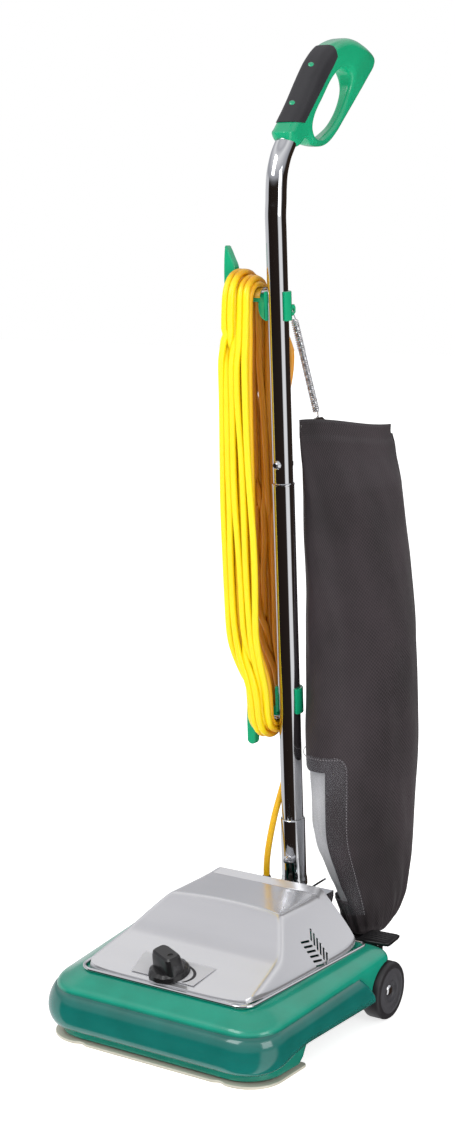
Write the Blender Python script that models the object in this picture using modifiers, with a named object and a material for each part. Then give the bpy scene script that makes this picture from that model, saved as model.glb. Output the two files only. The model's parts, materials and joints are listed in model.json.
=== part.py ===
"""Upright vacuum cleaner with a cloth bag, a height knob, a folding handle and cord hooks.

Metres, +Z up. The front is -Y, the handle's side with the cord hooks is -X.
Every part is drawn about the rear wheels' axis, Y = 0, and hangs from one empty that
moves the whole machine so that its box is centred on the origin and stands on Z = 0.
"""
import math

import bmesh
import bpy
from mathutils import Matrix, Vector

# ---- driving dimensions -------------------------------------------------------------
GAP = 0.0003                    # clearance between neighbouring solids
REAR_SHIFT = -0.0079            # from the rear axle's plane to the middle of the machine

BODY_HALF_WIDTH = 0.168         # green housing at its rear
BODY_FRONT_HALF_WIDTH = 0.157
BODY_FRONT = -0.271
BODY_REAR = 0.012
SHELL = 0.0028

HOOD_FRONT, HOOD_REAR = -0.2395, -0.006
HOOD_FRONT_HALF_WIDTH, HOOD_REAR_HALF_WIDTH = 0.116, 0.134
HOOD_WALL = 0.0022
PLATEAU_HEIGHT = 0.146

WHEEL_RADIUS, WHEEL_WIDTH = 0.0355, 0.0245
WHEEL_OUTER_FACE = 0.1730
AXLE_HEIGHT = WHEEL_RADIUS + 0.0002
AXLE_RADIUS = 0.0042

BRUSH_Y, BRUSH_Z = -0.212, 0.0305
BRUSH_CORE_RADIUS, BRUSH_TIP_RADIUS = 0.0165, 0.0295
BRUSH_HALF_LENGTH = 0.135

MOTOR_Z = 0.080
SHAFT_RADIUS = 0.004
SHAFT_PULLEY_Y, SHAFT_PULLEY_RADIUS = -0.170, 0.0070
BRUSH_PULLEY_RADIUS = 0.0140
BELT_RADIUS = 0.002

DUCT_X, DUCT_Z, DUCT_RADIUS = 0.088, 0.050, 0.019
COLLAR_Y = 0.080

PIVOT_Y, PIVOT_Z = 0.040, 0.078       # handle hinge
PIVOT_RADIUS = 0.004
ARM_INNER, ARM_THICKNESS = 0.0495, 0.003

TUBE_LEAN = math.radians(3.61)        # the handle leans forward as it rises
TUBE_Y, TUBE_Z = 0.0507, 0.2134       # a point on its axis
LOWER_TUBE_RADIUS, UPPER_TUBE_RADIUS = 0.0138, 0.0127
TUBE_WALL = 0.0008
SOCKET_TOP, WAND_JOINT, BEND_START = 0.2134, 0.644, 0.985

PEDAL_Y, PEDAL_Z = 0.026, 0.0735
CARRIAGE_Y, CARRIAGE_Z = -0.105, 0.014
ROLLER_Y, ROLLER_RADIUS = -0.150, 0.0098
SHELF_TILT = math.radians(14.0)
KNOB_X, KNOB_Y = -0.004, -0.2195

CORD_RADIUS = 0.0041
SADDLE_RADIUS = 0.0120
UPPER_SADDLE_Z, LOWER_SADDLE_Z = 0.8700, 0.3520

GREEN = ("abs_green", (0.010, 0.400, 0.230), 0.35, 0.0)
TEAL = ("vinyl_teal", (0.005, 0.210, 0.180), 0.35, 0.0)
HOOD_SILVER = ("polished_aluminium", (0.72, 0.72, 0.73), 0.30, 1.0)
CHROME = ("chrome_plate", (0.75, 0.76, 0.78), 0.08, 1.0)
STEEL = ("bright_steel", (0.55, 0.55, 0.55), 0.30, 1.0)
BLACK = ("black_plastic", (0.020, 0.020, 0.021), 0.45, 0.0)
RUBBER = ("black_rubber", (0.035, 0.033, 0.035), 0.75, 0.0)
GREY = ("grey_plate", (0.52, 0.52, 0.53), 0.45, 0.0)
COPPER = ("copper_winding", (0.55, 0.24, 0.10), 0.40, 1.0)
CLOTH = ("woven_cloth", (0.040, 0.032, 0.034), 0.90, 0.0)
VINYL = ("clear_vinyl", (0.30, 0.30, 0.31), 0.15, 0.0)
YELLOW = ("yellow_cord", (0.95, 0.72, 0.01), 0.45, 0.0)


# ---- the scene ----------------------------------------------------------------------
for old in list(bpy.data.objects):
    bpy.data.objects.remove(old, do_unlink=True)

PARTS = bpy.data.collections.new("upright_vacuum_cleaner")
CUTTERS = bpy.data.collections.new("cutters")
bpy.context.scene.collection.children.link(PARTS)
bpy.context.scene.collection.children.link(CUTTERS)

ROOT = bpy.data.objects.new("machine", None)
ROOT.location = (0.0, REAR_SHIFT, 0.0)
PARTS.objects.link(ROOT)


def material(finish):
    """Return the Principled material of a finish, made on first use."""
    name, colour, roughness, metallic = finish
    found = bpy.data.materials.get(name)
    if found:
        return found
    made = bpy.data.materials.new(name)
    made.use_nodes = True
    shader = made.node_tree.nodes["Principled BSDF"]
    shader.inputs["Base Color"].default_value = (*colour, 1.0)
    shader.inputs["Roughness"].default_value = roughness
    shader.inputs["Metallic"].default_value = metallic
    return made


def place(name, data, finish, origin=(0, 0, 0), turn=None):
    """Link an object at its origin, turned by a matrix, under the machine's empty."""
    obj = bpy.data.objects.new(name, data)
    frame = turn.to_4x4() if turn else Matrix.Identity(4)
    obj.matrix_local = Matrix.Translation(origin) @ frame
    obj.parent = ROOT
    data.materials.clear()
    data.materials.append(material(finish))
    PARTS.objects.link(obj)
    return obj


def from_bmesh(name, shape, finish, origin=(0, 0, 0), turn=None, smooth=False, wound=False):
    """Turn a bmesh into an object, with its faces pointing out unless already wound so."""
    if not wound:
        bmesh.ops.recalc_face_normals(shape, faces=shape.faces)
    mesh = bpy.data.meshes.new(name)
    shape.to_mesh(mesh)
    shape.free()
    if smooth:
        mesh.shade_smooth()
        mesh.set_sharp_from_angle(angle=math.radians(35))
    return place(name, mesh, finish, origin, turn)


def along(direction):
    """Rotation that turns +Z to a direction."""
    return Vector((0, 0, 1)).rotation_difference(Vector(direction)).to_matrix()


def lean():
    """Rotation of the handle's own parts: local +Z runs up the leaning tube."""
    return Matrix.Rotation(TUBE_LEAN, 3, "X")


def tube_y(z):
    """Y of the handle tube's axis at a height."""
    return TUBE_Y - (z - TUBE_Z) * math.tan(TUBE_LEAN)


def box(name, finish, low, high, bevel=0.0, segments=2, origin=(0, 0, 0), turn=None):
    """A box between two corners, its edges rounded by a Bevel."""
    shape = bmesh.new()
    bmesh.ops.create_cube(shape, size=1.0)
    size = [h - l for l, h in zip(low, high)]
    centre = [(h + l) / 2 for l, h in zip(low, high)]
    bmesh.ops.scale(shape, vec=size, verts=shape.verts)
    bmesh.ops.translate(shape, vec=centre, verts=shape.verts)
    obj = from_bmesh(name, shape, finish, origin, turn)
    if bevel:
        soft = obj.modifiers.new("soft_edges", "BEVEL")
        soft.width = bevel
        soft.segments = segments
    return obj


def bar(name, finish, start, end, radius, sides=16, tip=None):
    """A round bar or cone between two points."""
    start, end = Vector(start), Vector(end)
    shape = bmesh.new()
    bmesh.ops.create_cone(shape, cap_ends=True, segments=sides, radius1=radius,
                          radius2=radius if tip is None else tip, depth=(end - start).length)
    return from_bmesh(name, shape, finish, (start + end) / 2, along(end - start), smooth=True)


def turned(name, finish, profile, origin=(0, 0, 0), axis=(0, 0, 1), steps=24, ring=False):
    """Spin a profile of (radius, height), listed top to bottom, about an axis."""
    shape = bmesh.new()
    points = [shape.verts.new((r, 0, h)) for r, h in profile]
    for a, b in zip(points, points[1:]):
        shape.edges.new((a, b))
    if ring:
        shape.edges.new((points[-1], points[0]))
    mesh = bpy.data.meshes.new(name)
    shape.to_mesh(mesh)
    shape.free()
    obj = place(name, mesh, finish, origin, along(axis))
    screw = obj.modifiers.new("turn", "SCREW")
    screw.steps = steps
    screw.render_steps = steps
    screw.use_merge_vertices = True
    screw.merge_threshold = 0.00001
    return obj


def tube_profile(outer, inner, bottom, top):
    """Ring profile of a plain tube."""
    return [(outer, top), (outer, bottom), (inner, bottom), (inner, top)]


def plate(name, finish, loops, thickness, origin=(0, 0, 0), turn=None, bevel=0.0):
    """A flat outline, with any holes as further loops, given a thickness."""
    curve = bpy.data.curves.new(name, "CURVE")
    curve.dimensions = "2D"
    curve.fill_mode = "BOTH"
    curve.extrude = thickness / 2 - bevel
    curve.bevel_depth = bevel
    curve.bevel_resolution = 1 if bevel else 0
    curve.offset = -bevel
    for loop in loops:
        spline = curve.splines.new("POLY")
        spline.points.add(len(loop) - 1)
        for point, (x, y) in zip(spline.points, loop):
            point.co = (x, y, 0, 1)
        spline.use_cyclic_u = True
    return place(name, curve, finish, origin, turn)


def wire(name, finish, points, radius, resolution=2, closed=False, caps=True):
    """A round wire through its points."""
    curve = bpy.data.curves.new(name, "CURVE")
    curve.dimensions = "3D"
    curve.bevel_depth = radius
    curve.bevel_resolution = resolution
    curve.use_fill_caps = caps and not closed
    spline = curve.splines.new("POLY")
    spline.points.add(len(points) - 1)
    for point, place_at in zip(spline.points, points):
        point.co = (*place_at, 1)
    spline.use_cyclic_u = closed
    return place(name, curve, finish)


def as_mesh(obj):
    """Replace an object by the mesh it evaluates to, with its caps welded."""
    bpy.context.view_layer.update()
    graph = bpy.context.evaluated_depsgraph_get()
    mesh = bpy.data.meshes.new_from_object(obj.evaluated_get(graph))
    shape = bmesh.new()
    shape.from_mesh(mesh)
    bmesh.ops.remove_doubles(shape, verts=shape.verts, dist=0.00001)
    if not any(edge.is_boundary for edge in shape.edges):
        bmesh.ops.recalc_face_normals(shape, faces=shape.faces)
    shape.to_mesh(mesh)
    shape.free()
    name, matrix = obj.name, obj.matrix_local.copy()
    slots = [m for m in obj.data.materials]
    bpy.data.objects.remove(obj, do_unlink=True)
    made = bpy.data.objects.new(name, mesh)
    made.matrix_local = matrix
    made.parent = ROOT
    mesh.materials.clear()
    for slot in slots:
        mesh.materials.append(slot)
    PARTS.objects.link(made)
    return made


def combine(obj, operation, *tools):
    """Cut, or join on, closed meshes that become guides."""
    for tool in tools:
        if tool.type == "CURVE":
            tool = as_mesh(tool)
        PARTS.objects.unlink(tool)
        CUTTERS.objects.link(tool)
        tool.name = f"tool_{obj.name}_{len(obj.modifiers)}"
        tool.hide_render = True
        tool.display_type = "WIRE"
        step = obj.modifiers.new(operation.lower(), "BOOLEAN")
        step.operation = operation
        step.object = tool
    return obj


def cut(obj, *tools):
    """Cut tools out of a part."""
    return combine(obj, "DIFFERENCE", *tools)


def join(obj, *tools):
    """Join overlapping pieces on to a part."""
    return combine(obj, "UNION", *tools)


def group(name, finish, pieces):
    """Several separate solids as one object, to cut or to join with in one step."""
    bpy.context.view_layer.update()
    graph = bpy.context.evaluated_depsgraph_get()
    shape = bmesh.new()
    for piece in pieces:
        mesh = bpy.data.meshes.new_from_object(piece.evaluated_get(graph))
        mesh.transform(piece.matrix_local)
        shape.from_mesh(mesh)
        bpy.data.meshes.remove(mesh)
        bpy.data.objects.remove(piece, do_unlink=True)
    return from_bmesh(name, shape, finish)


def smooth_path(points, spacing):
    """Points a set distance apart along a Catmull-Rom curve through the route."""
    route = [Vector(p) for p in points]
    route = [2 * route[0] - route[1], *route, 2 * route[-1] - route[-2]]
    fine = []
    for i in range(1, len(route) - 2):
        a, b, c, d = route[i - 1:i + 3]
        for step in range(24):
            t = step / 24
            fine.append(0.5 * (2 * b + (c - a) * t + (2 * a - 5 * b + 4 * c - d) * t * t
                               + (3 * b - a - 3 * c + d) * t ** 3))
    fine.append(route[-2])
    length = sum((q - p).length for p, q in zip(fine, fine[1:]))
    count = max(2, round(length / spacing))
    found, walked, target = [fine[0]], 0.0, length / count
    for p, q in zip(fine, fine[1:]):
        step = (q - p).length
        while walked + step >= target and len(found) < count:
            found.append(p.lerp(q, (target - walked) / step))
            target += length / count
        walked += step
    found.append(fine[-1])
    return found


def rounded_outline(front, rear, front_half, rear_half, front_round, rear_round, side_marks=()):
    """Plan outline with four round corners, anticlockwise from the front right."""
    corners = ((front_half, front, front_round, -90), (rear_half, rear, rear_round, 0),
               (-rear_half, rear, rear_round, 90), (-front_half, front, front_round, 180))
    points = []
    for index, (x, y, radius, start) in enumerate(corners):
        centre_x = x - math.copysign(radius, x)
        centre_y = y + radius if y == front else y - radius
        for step in range(7):
            angle = math.radians(start + 15 * step)
            points.append((centre_x + radius * math.cos(angle), centre_y + radius * math.sin(angle)))
        if index in (0, 2):
            marks = side_marks if index == 0 else reversed(side_marks)
            for mark in marks:
                share = (mark - front) / (rear - front)
                points.append((math.copysign(front_half + (rear_half - front_half) * share, x), mark))
    return points


def skin(name, finish, rings, wall, closed_ends=False):
    """Loft rings of points into an open skin and give it a wall inwards."""
    shape = bmesh.new()
    loops = [[shape.verts.new(p) for p in ring] for ring in rings]
    for upper, lower in zip(loops, loops[1:]):
        for i in range(len(upper)):
            j = (i + 1) % len(upper)
            shape.faces.new((upper[i], lower[i], lower[j], upper[j]))
    if closed_ends:
        shape.faces.new(loops[0])
    obj = from_bmesh(name, shape, finish, smooth=True, wound=True)
    walls = obj.modifiers.new("wall", "SOLIDIFY")
    walls.thickness = wall
    walls.offset = -1.0
    return obj


# ---- base: housing, guard, hood, plates ---------------------------------------------
def crease_height(y):
    """Height of the housing's shoulder, which rises towards the rear."""
    return 0.064 + 0.014 * (y - BODY_FRONT) / (BODY_REAR - BODY_FRONT)


def rim_height(y):
    """Height of the hood's lower edge."""
    return 0.0825 + 0.0055 * (y - HOOD_FRONT) / (HOOD_REAR - HOOD_FRONT)


SIDE_MARKS = (-0.184, -0.168, -0.110, -0.062)      # stations along the housing's sides
STEP_Y = -0.176                                    # the skirt is deep in front of this


def base_housing():
    """Green shell around the nozzle and the motor, with wheel arches and a duct hole."""
    def ring(inset, height, corner=0.046):
        outline = rounded_outline(BODY_FRONT + inset, BODY_REAR - inset / 2,
                                  BODY_FRONT_HALF_WIDTH - inset, BODY_HALF_WIDTH - inset / 2,
                                  corner, 0.016, SIDE_MARKS)
        return [(x, y, height(y)) for x, y in outline]

    def hem(y):
        return 0.0060 if y < STEP_Y else 0.0285

    opening = rounded_outline(-0.231, -0.014, 0.107, 0.124, 0.020, 0.012, SIDE_MARKS)
    rings = [[(x, y, rim_height(y) - 0.0030) for x, y in opening],
             ring(0.008, lambda y: crease_height(y) + 0.0045),
             ring(0.002, lambda y: crease_height(y)),
             ring(0.001, lambda y: crease_height(y) - 0.006),
             ring(0.001, lambda y: 0.038),
             ring(0.005, lambda y: max(hem(y) + 0.004, 0.020)),
             ring(0.006, hem)]
    body = skin("base_housing", GREEN, rings, SHELL)
    arches = [bar("arch", BLACK, (side * 0.1440, 0, AXLE_HEIGHT), (side * 0.190, 0, AXLE_HEIGHT),
                  WHEEL_RADIUS + 0.003, sides=32) for side in (-1, 1)]
    duct = bar("duct_hole", BLACK, (DUCT_X, -0.010, DUCT_Z), (DUCT_X, 0.030, DUCT_Z),
               DUCT_RADIUS + 0.0015, sides=24)
    return cut(body, *arches, duct)


def furniture_guard():
    """Soft band around the front and the sides of the housing."""
    def half_path(offset, height):
        outline = rounded_outline(BODY_FRONT + 0.001 - offset, BODY_REAR, 0.156 + offset,
                                  0.1675 + offset, 0.046 + offset, 0.016, SIDE_MARKS)
        right = outline[:11]
        left = [(-x, y) for x, y in reversed(right)]
        return [(x, y, height(y)) for x, y in left + right]

    levels = ((0.0004, lambda y: crease_height(y) - 0.0045), (0.0030, lambda y: crease_height(y) - 0.009),
              (0.0036, lambda y: 0.046), (0.0030, lambda y: 0.034), (0.0004, lambda y: 0.0310))
    shape = bmesh.new()
    outer = [[shape.verts.new(p) for p in half_path(offset + 0.0016, height)] for offset, height in levels]
    inner = [[shape.verts.new(p) for p in half_path(0.0005, height)] for _, height in (levels[0], levels[-1])]
    strip = [outer[0], *outer[1:], inner[1], inner[0]]
    loops = list(zip(strip, strip[1:] + strip[:1]))
    for upper, lower in loops:
        for i in range(len(upper) - 1):
            shape.faces.new((upper[i], lower[i], lower[i + 1], upper[i + 1]))
    for end in (0, -1):
        shape.faces.new([row[end] for row in strip])
    return from_bmesh("furniture_guard", shape, TEAL, smooth=True)


def soft_min(a, b, blend):
    """Smaller of two heights, with a rounded meeting line."""
    share = max(blend - abs(a - b), 0.0) / blend
    return min(a, b) - share * share * blend / 4


def hood_height(x, y):
    """Top surface of the hood: a plateau, steep sides and a low shelf in front."""
    share = (y - HOOD_FRONT) / (HOOD_REAR - HOOD_FRONT)
    half = HOOD_FRONT_HALF_WIDTH + (HOOD_REAR_HALF_WIDTH - HOOD_FRONT_HALF_WIDTH) * share
    edge = rim_height(y) + 0.006
    side = edge + (half - abs(x)) * (PLATEAU_HEIGHT - edge) / (half - 0.080)
    shelf = edge - 0.0015 + (y - HOOD_FRONT) * math.tan(SHELF_TILT)
    slope = 0.101 + (y + 0.166) * 0.80
    rear = edge + (HOOD_REAR - y) * 3.2
    plateau = PLATEAU_HEIGHT + 0.003 * (1 - (x / 0.08) ** 2)
    dome = soft_min(soft_min(plateau, slope, 0.010), rear, 0.012)
    front = -soft_min(-dome, -shelf, 0.010)
    return soft_min(front, side, 0.010)


def hood_plan(u, v):
    """Square (u, v) to the hood's plan, with its corners drawn in to a round."""
    share = (v + 1) / 2
    half = HOOD_FRONT_HALF_WIDTH + (HOOD_REAR_HALF_WIDTH - HOOD_FRONT_HALF_WIDTH) * share
    y = HOOD_FRONT + (HOOD_REAR - HOOD_FRONT) * share
    pull = max(abs(u), abs(v)) ** 3 * 0.0070 * (abs(u) * abs(v)) ** 6
    return u * half - math.copysign(pull, u), y - math.copysign(pull, v)


def motor_hood():
    """Polished hood over the motor: one drawn sheet with a short skirt."""
    cells = 16
    shape = bmesh.new()
    bmesh.ops.create_grid(shape, x_segments=cells, y_segments=cells, size=1.0)
    for vert in shape.verts:
        x, y = hood_plan(vert.co.x, vert.co.y)
        vert.co = (x, y, hood_height(x, y))
    border = [e for e in shape.edges if e.is_boundary]
    skirt = bmesh.ops.extrude_edge_only(shape, edges=border)["geom"]
    for vert in (g for g in skirt if isinstance(g, bmesh.types.BMVert)):
        vert.co.z = rim_height(vert.co.y)
    bmesh.ops.recalc_face_normals(shape, faces=shape.faces)
    if shape.faces[0].normal.z < 0:
        bmesh.ops.reverse_faces(shape, faces=shape.faces)
    mesh = bpy.data.meshes.new("motor_hood")
    shape.to_mesh(mesh)
    shape.free()
    hood = place("motor_hood", mesh, HOOD_SILVER)
    walls = hood.modifiers.new("wall", "SOLIDIFY")
    walls.thickness = HOOD_WALL
    walls.offset = -1.0
    centre = (KNOB_X, KNOB_Y, hood_height(KNOB_X, KNOB_Y))
    normal = Vector((0, -math.sin(SHELF_TILT), math.cos(SHELF_TILT)))
    hole = bar("knob_hole", BLACK, Vector(centre) - normal * 0.012, Vector(centre) + normal * 0.012, 0.0065)
    return cut(hood, hole)


def hood_trim():
    """Bright bead around the hood's lower edge."""
    corner = 0.020
    outline = rounded_outline(HOOD_FRONT - 0.0042, HOOD_REAR + 0.0042, HOOD_FRONT_HALF_WIDTH + 0.0042,
                              HOOD_REAR_HALF_WIDTH + 0.0042, corner, corner / 2, (-0.180, -0.120, -0.060))
    points = [(x, y, rim_height(y) + 0.0012) for x, y in outline]
    return wire("hood_trim", CHROME, points, 0.0022, closed=True)


def dial_plate():
    """Printed plate under the height knob."""
    outline = [(-0.046, -0.0130), (0.042, -0.0130), (0.049, 0.0262), (-0.053, 0.0262)]
    hole = [(0.0065 * math.cos(a), 0.0065 * math.sin(a))
            for a in (math.radians(30 * k) for k in range(12))]
    normal = Vector((0, -math.sin(SHELF_TILT), math.cos(SHELF_TILT)))
    rest = Vector((KNOB_X, KNOB_Y, hood_height(KNOB_X, KNOB_Y))) + normal * 0.0011
    return plate("dial_plate", GREY, [outline, hole], 0.0010, rest, Matrix.Rotation(SHELF_TILT, 3, "X"))


def sole_plate():
    """Metal plate under the nozzle, around its mouth."""
    outline = rounded_outline(-0.2560, -0.1680, 0.1600, 0.1600, 0.040, 0.006)
    mouth = rounded_outline(-0.2450, -0.1790, 0.1340, 0.1340, 0.008, 0.008)
    return plate("sole_plate", STEEL, [outline, mouth], 0.0035, (0, 0, 0.00175))


def nozzle_chamber():
    """Half-round tunnel over the brush, slotted for the belt."""
    inner, outer = 0.0325, 0.0355
    angles = [math.radians(-8 + 196 * k / 16) for k in range(17)]
    loop = [(outer * math.cos(a), outer * math.sin(a)) for a in angles]
    loop += [(inner * math.cos(a), inner * math.sin(a)) for a in reversed(angles)]
    turn = Matrix(((0, 0, 1), (1, 0, 0), (0, 1, 0)))
    arch = as_mesh(plate("nozzle_chamber", BLACK, [loop], 0.272, (0, BRUSH_Y, BRUSH_Z), turn))
    slot = box("slot", BLACK, (-0.013, -0.226, 0.034), (0.013, -0.165, 0.080))
    return cut(arch, slot)


def base_frame():
    """Chassis plate with axle blocks, handle ears, pedal ears and roller lugs."""
    floor = box("base_frame", BLACK, (-0.1415, -0.160, 0.020), (0.1415, 0.055, 0.026))
    blocks = [box("block", BLACK, (s * 0.133 - 0.006, -0.013, 0.022), (s * 0.133 + 0.006, 0.0055, 0.046))
              for s in (-1, 1)]
    ears = [box("ear", BLACK, (s * 0.060 - 0.003, 0.018, 0.022), (s * 0.060 + 0.003, 0.052, 0.088))
            for s in (-1, 1)]
    pedal_ears = [box("pedal_ear", BLACK, (x, 0.018, 0.022), (x + 0.003, 0.034, 0.0785))
                  for x in (0.1125, 0.1385)]
    lugs = [box("lug", BLACK, (s * 0.054 - 0.0025, -0.111, 0.0085), (s * 0.054 + 0.0025, -0.099, 0.022))
            for s in (-1, 1)]
    stand = box("stand", BLACK, (-0.040, 0.0145, 0.022), (0.052, 0.0180, 0.1040))
    tower = box("tower", BLACK, (0.028, 0.0145, 0.1000), (0.052, 0.0180, 0.1320))
    join(floor, *blocks, *ears, *pedal_ears, *lugs, stand, tower)
    bores = [bar("bore", BLACK, (-0.160, 0, AXLE_HEIGHT), (0.160, 0, AXLE_HEIGHT), AXLE_RADIUS + GAP),
             bar("bore", BLACK, (-0.080, PIVOT_Y, PIVOT_Z), (0.080, PIVOT_Y, PIVOT_Z), PIVOT_RADIUS + GAP),
             bar("bore", BLACK, (0.050, PEDAL_Y, PEDAL_Z), (0.150, PEDAL_Y, PEDAL_Z), 0.003 + GAP),
             bar("bore", BLACK, (-0.070, CARRIAGE_Y, CARRIAGE_Z), (0.070, CARRIAGE_Y, CARRIAGE_Z),
                 0.003 + GAP)]
    return cut(floor, *bores)


def rear_running_gear():
    """The two rear wheels on their headed axle pins."""
    inner_face = WHEEL_OUTER_FACE - WHEEL_WIDTH
    for side, label in ((-1, "left"), (1, "right")):
        half = WHEEL_WIDTH / 2
        profile = [(0.0130, half - 0.0045), (0.0155, half), (0.0325, half), (WHEEL_RADIUS, half - 0.0030),
                   (WHEEL_RADIUS, -half + 0.0030), (0.0325, -half), (AXLE_RADIUS + GAP, -half),
                   (AXLE_RADIUS + GAP, half - 0.0045)]
        turned(f"rear_wheel_{label}", RUBBER, profile, (side * (inner_face + half), 0, AXLE_HEIGHT),
               (side, 0, 0), steps=28, ring=True)
        pin = bar(f"rear_axle_{label}", CHROME, (side * 0.1180, 0, AXLE_HEIGHT),
                  (side * 0.1700, 0, AXLE_HEIGHT), AXLE_RADIUS, sides=16)
        join(pin, bar("head", CHROME, (side * 0.1690, 0, AXLE_HEIGHT), (side * 0.1722, 0, AXLE_HEIGHT),
                      0.0072, sides=16, tip=0.0052))


# ---- brush, belt, motor and air path -------------------------------------------------
def brush():
    """Turning brush: a core with a belt groove, two spirals of tufts and end caps."""
    groove, length = 0.0065, BRUSH_HALF_LENGTH
    profile = [(0, length), (0.0145, length), (0.0145, length - 0.004), (BRUSH_CORE_RADIUS, length - 0.006),
               (BRUSH_CORE_RADIUS, groove + 0.003), (BRUSH_PULLEY_RADIUS, groove),
               (BRUSH_PULLEY_RADIUS, -groove), (BRUSH_CORE_RADIUS, -groove - 0.003),
               (BRUSH_CORE_RADIUS, -length + 0.006), (0.0145, -length + 0.004), (0.0145, -length),
               (0, -length)]
    roll = turned("brush_roll", BLACK, profile, (0, BRUSH_Y, BRUSH_Z), (1, 0, 0), steps=20)
    tufts = []
    per_row, spread, twist = 14, 0.118, math.radians(150)
    for row in range(2):
        for k in range(per_row):
            x = -spread + 2 * spread * k / (per_row - 1)
            if abs(x) < 0.014:
                continue
            angle = row * math.pi + twist * x / spread
            out = Vector((0, math.cos(angle), math.sin(angle)))
            centre = Vector((x, BRUSH_Y, BRUSH_Z))
            tufts.append(bar("tuft", BLACK, centre + out * (BRUSH_CORE_RADIUS - 0.002),
                             centre + out * BRUSH_TIP_RADIUS, 0.0030, sides=5, tip=0.0042))
    join(roll, group("tufts", BLACK, tufts))
    for side, label in ((-1, "left"), (1, "right")):
        box(f"brush_end_cap_{label}", BLACK, (side * 0.1420 - 0.0055, BRUSH_Y - 0.017, BRUSH_Z - 0.017),
            (side * 0.1420 + 0.0055, BRUSH_Y + 0.017, BRUSH_Z + 0.017), bevel=0.005)


def drive_belt():
    """Round belt with a quarter turn, from the motor shaft to the brush."""
    small = SHAFT_PULLEY_RADIUS + BELT_RADIUS + GAP
    large = BRUSH_PULLEY_RADIUS + BELT_RADIUS + GAP
    rise = Vector((SHAFT_PULLEY_Y - BRUSH_Y, MOTOR_Z - BRUSH_Z))
    towards = math.atan2(rise.y, rise.x)
    open_angle = math.acos(large / rise.length)
    points = []
    for k in range(9):
        angle = math.radians(180 - 22.5 * k)
        points.append(Vector((small * math.cos(angle), SHAFT_PULLEY_Y, MOTOR_Z + small * math.sin(angle))))
    start = towards + open_angle
    sweep = 2 * math.pi - 2 * open_angle
    wrap = [Vector((0, BRUSH_Y + large * math.cos(start + sweep * k / 14),
                    BRUSH_Z + large * math.sin(start + sweep * k / 14))) for k in range(15)]
    down = [points[-1].lerp(wrap[0], k / 5) for k in range(1, 5)]
    back = [wrap[-1].lerp(points[0], k / 5) for k in range(1, 5)]
    return wire("drive_belt", RUBBER, points + down + wrap + back, BELT_RADIUS, closed=True)


def motor():
    """Motor case and stator, shaft with its pulley, armature, fan and fan housing."""
    back, front = -0.018, -0.088

    def shell(name, finish, profile, steps=20):
        return turned(name, finish, profile, (0, 0, MOTOR_Z), (0, -1, 0), steps, ring=True)

    shell("motor_case", STEEL, [(0.0080, -front), (0.0440, -front), (0.0440, -back), (0.0060, -back),
                                (0.0060, -back + 0.003), (0.0410, -back + 0.003),
                                (0.0410, -front - 0.003), (0.0080, -front - 0.003)])
    shell("motor_stator", COPPER, tube_profile(0.0405, 0.0290, 0.030, 0.070))
    shell("motor_armature", COPPER, tube_profile(0.0265, SHAFT_RADIUS + GAP, 0.034, 0.068))
    turned("motor_shaft", STEEL,
           [(0, 0.1770), (SHAFT_PULLEY_RADIUS, 0.1770), (SHAFT_PULLEY_RADIUS, 0.1665), (0.0090, 0.1655),
            (0.0090, 0.1630), (SHAFT_RADIUS, 0.1625), (SHAFT_RADIUS, 0.0200), (0, 0.0200)],
           (0, 0, MOTOR_Z), (0, -1, 0), steps=16)
    hub = turned("motor_fan", GREY, tube_profile(0.0370, SHAFT_RADIUS + GAP, 0.0960, 0.0985),
                 (0, 0, MOTOR_Z), (0, -1, 0), 20, ring=True)
    blades = []
    for k in range(6):
        blades.append(box("blade", GREY, (0.012, -0.0130, -0.0010), (0.034, -0.0005, 0.0010),
                          origin=(0, -0.0980, MOTOR_Z), turn=Matrix.Rotation(math.radians(60 * k), 3, "Y")))
    join(hub, *blades)
    shell("fan_housing", BLACK,
          [(0.0120, 0.1200), (0.0440, 0.1200), (0.0440, 0.0890), (0.0080, 0.0890), (0.0080, 0.0920),
           (0.0410, 0.0920), (0.0410, 0.1170), (0.0120, 0.1170)])


def exhaust():
    """Duct from the fan to the bag, and the ring that the bag clamps on."""
    route = [(0.0465, -0.105, DUCT_Z + 0.008), (0.064, -0.105, DUCT_Z + 0.004), (0.083, -0.095, DUCT_Z),
             (DUCT_X, -0.070, DUCT_Z), (DUCT_X, -0.020, DUCT_Z), (DUCT_X, 0.030, DUCT_Z),
             (DUCT_X, 0.060, DUCT_Z + 0.004), (DUCT_X, COLLAR_Y - 0.004, DUCT_Z + 0.018),
             (DUCT_X, COLLAR_Y, DUCT_Z + 0.032), (DUCT_X, COLLAR_Y, DUCT_Z + 0.045)]
    pipe = as_mesh(wire("exhaust_elbow", BLACK, smooth_path(route, 0.020), DUCT_RADIUS, 2, caps=False))
    walls = pipe.modifiers.new("wall", "SOLIDIFY")
    walls.thickness = 0.002
    walls.offset = -1.0
    turned("bag_collar", STEEL, tube_profile(DUCT_RADIUS + 0.0040, DUCT_RADIUS + 0.0016, 0.0850, 0.0930),
           (DUCT_X, COLLAR_Y, 0), steps=24, ring=True)


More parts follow.
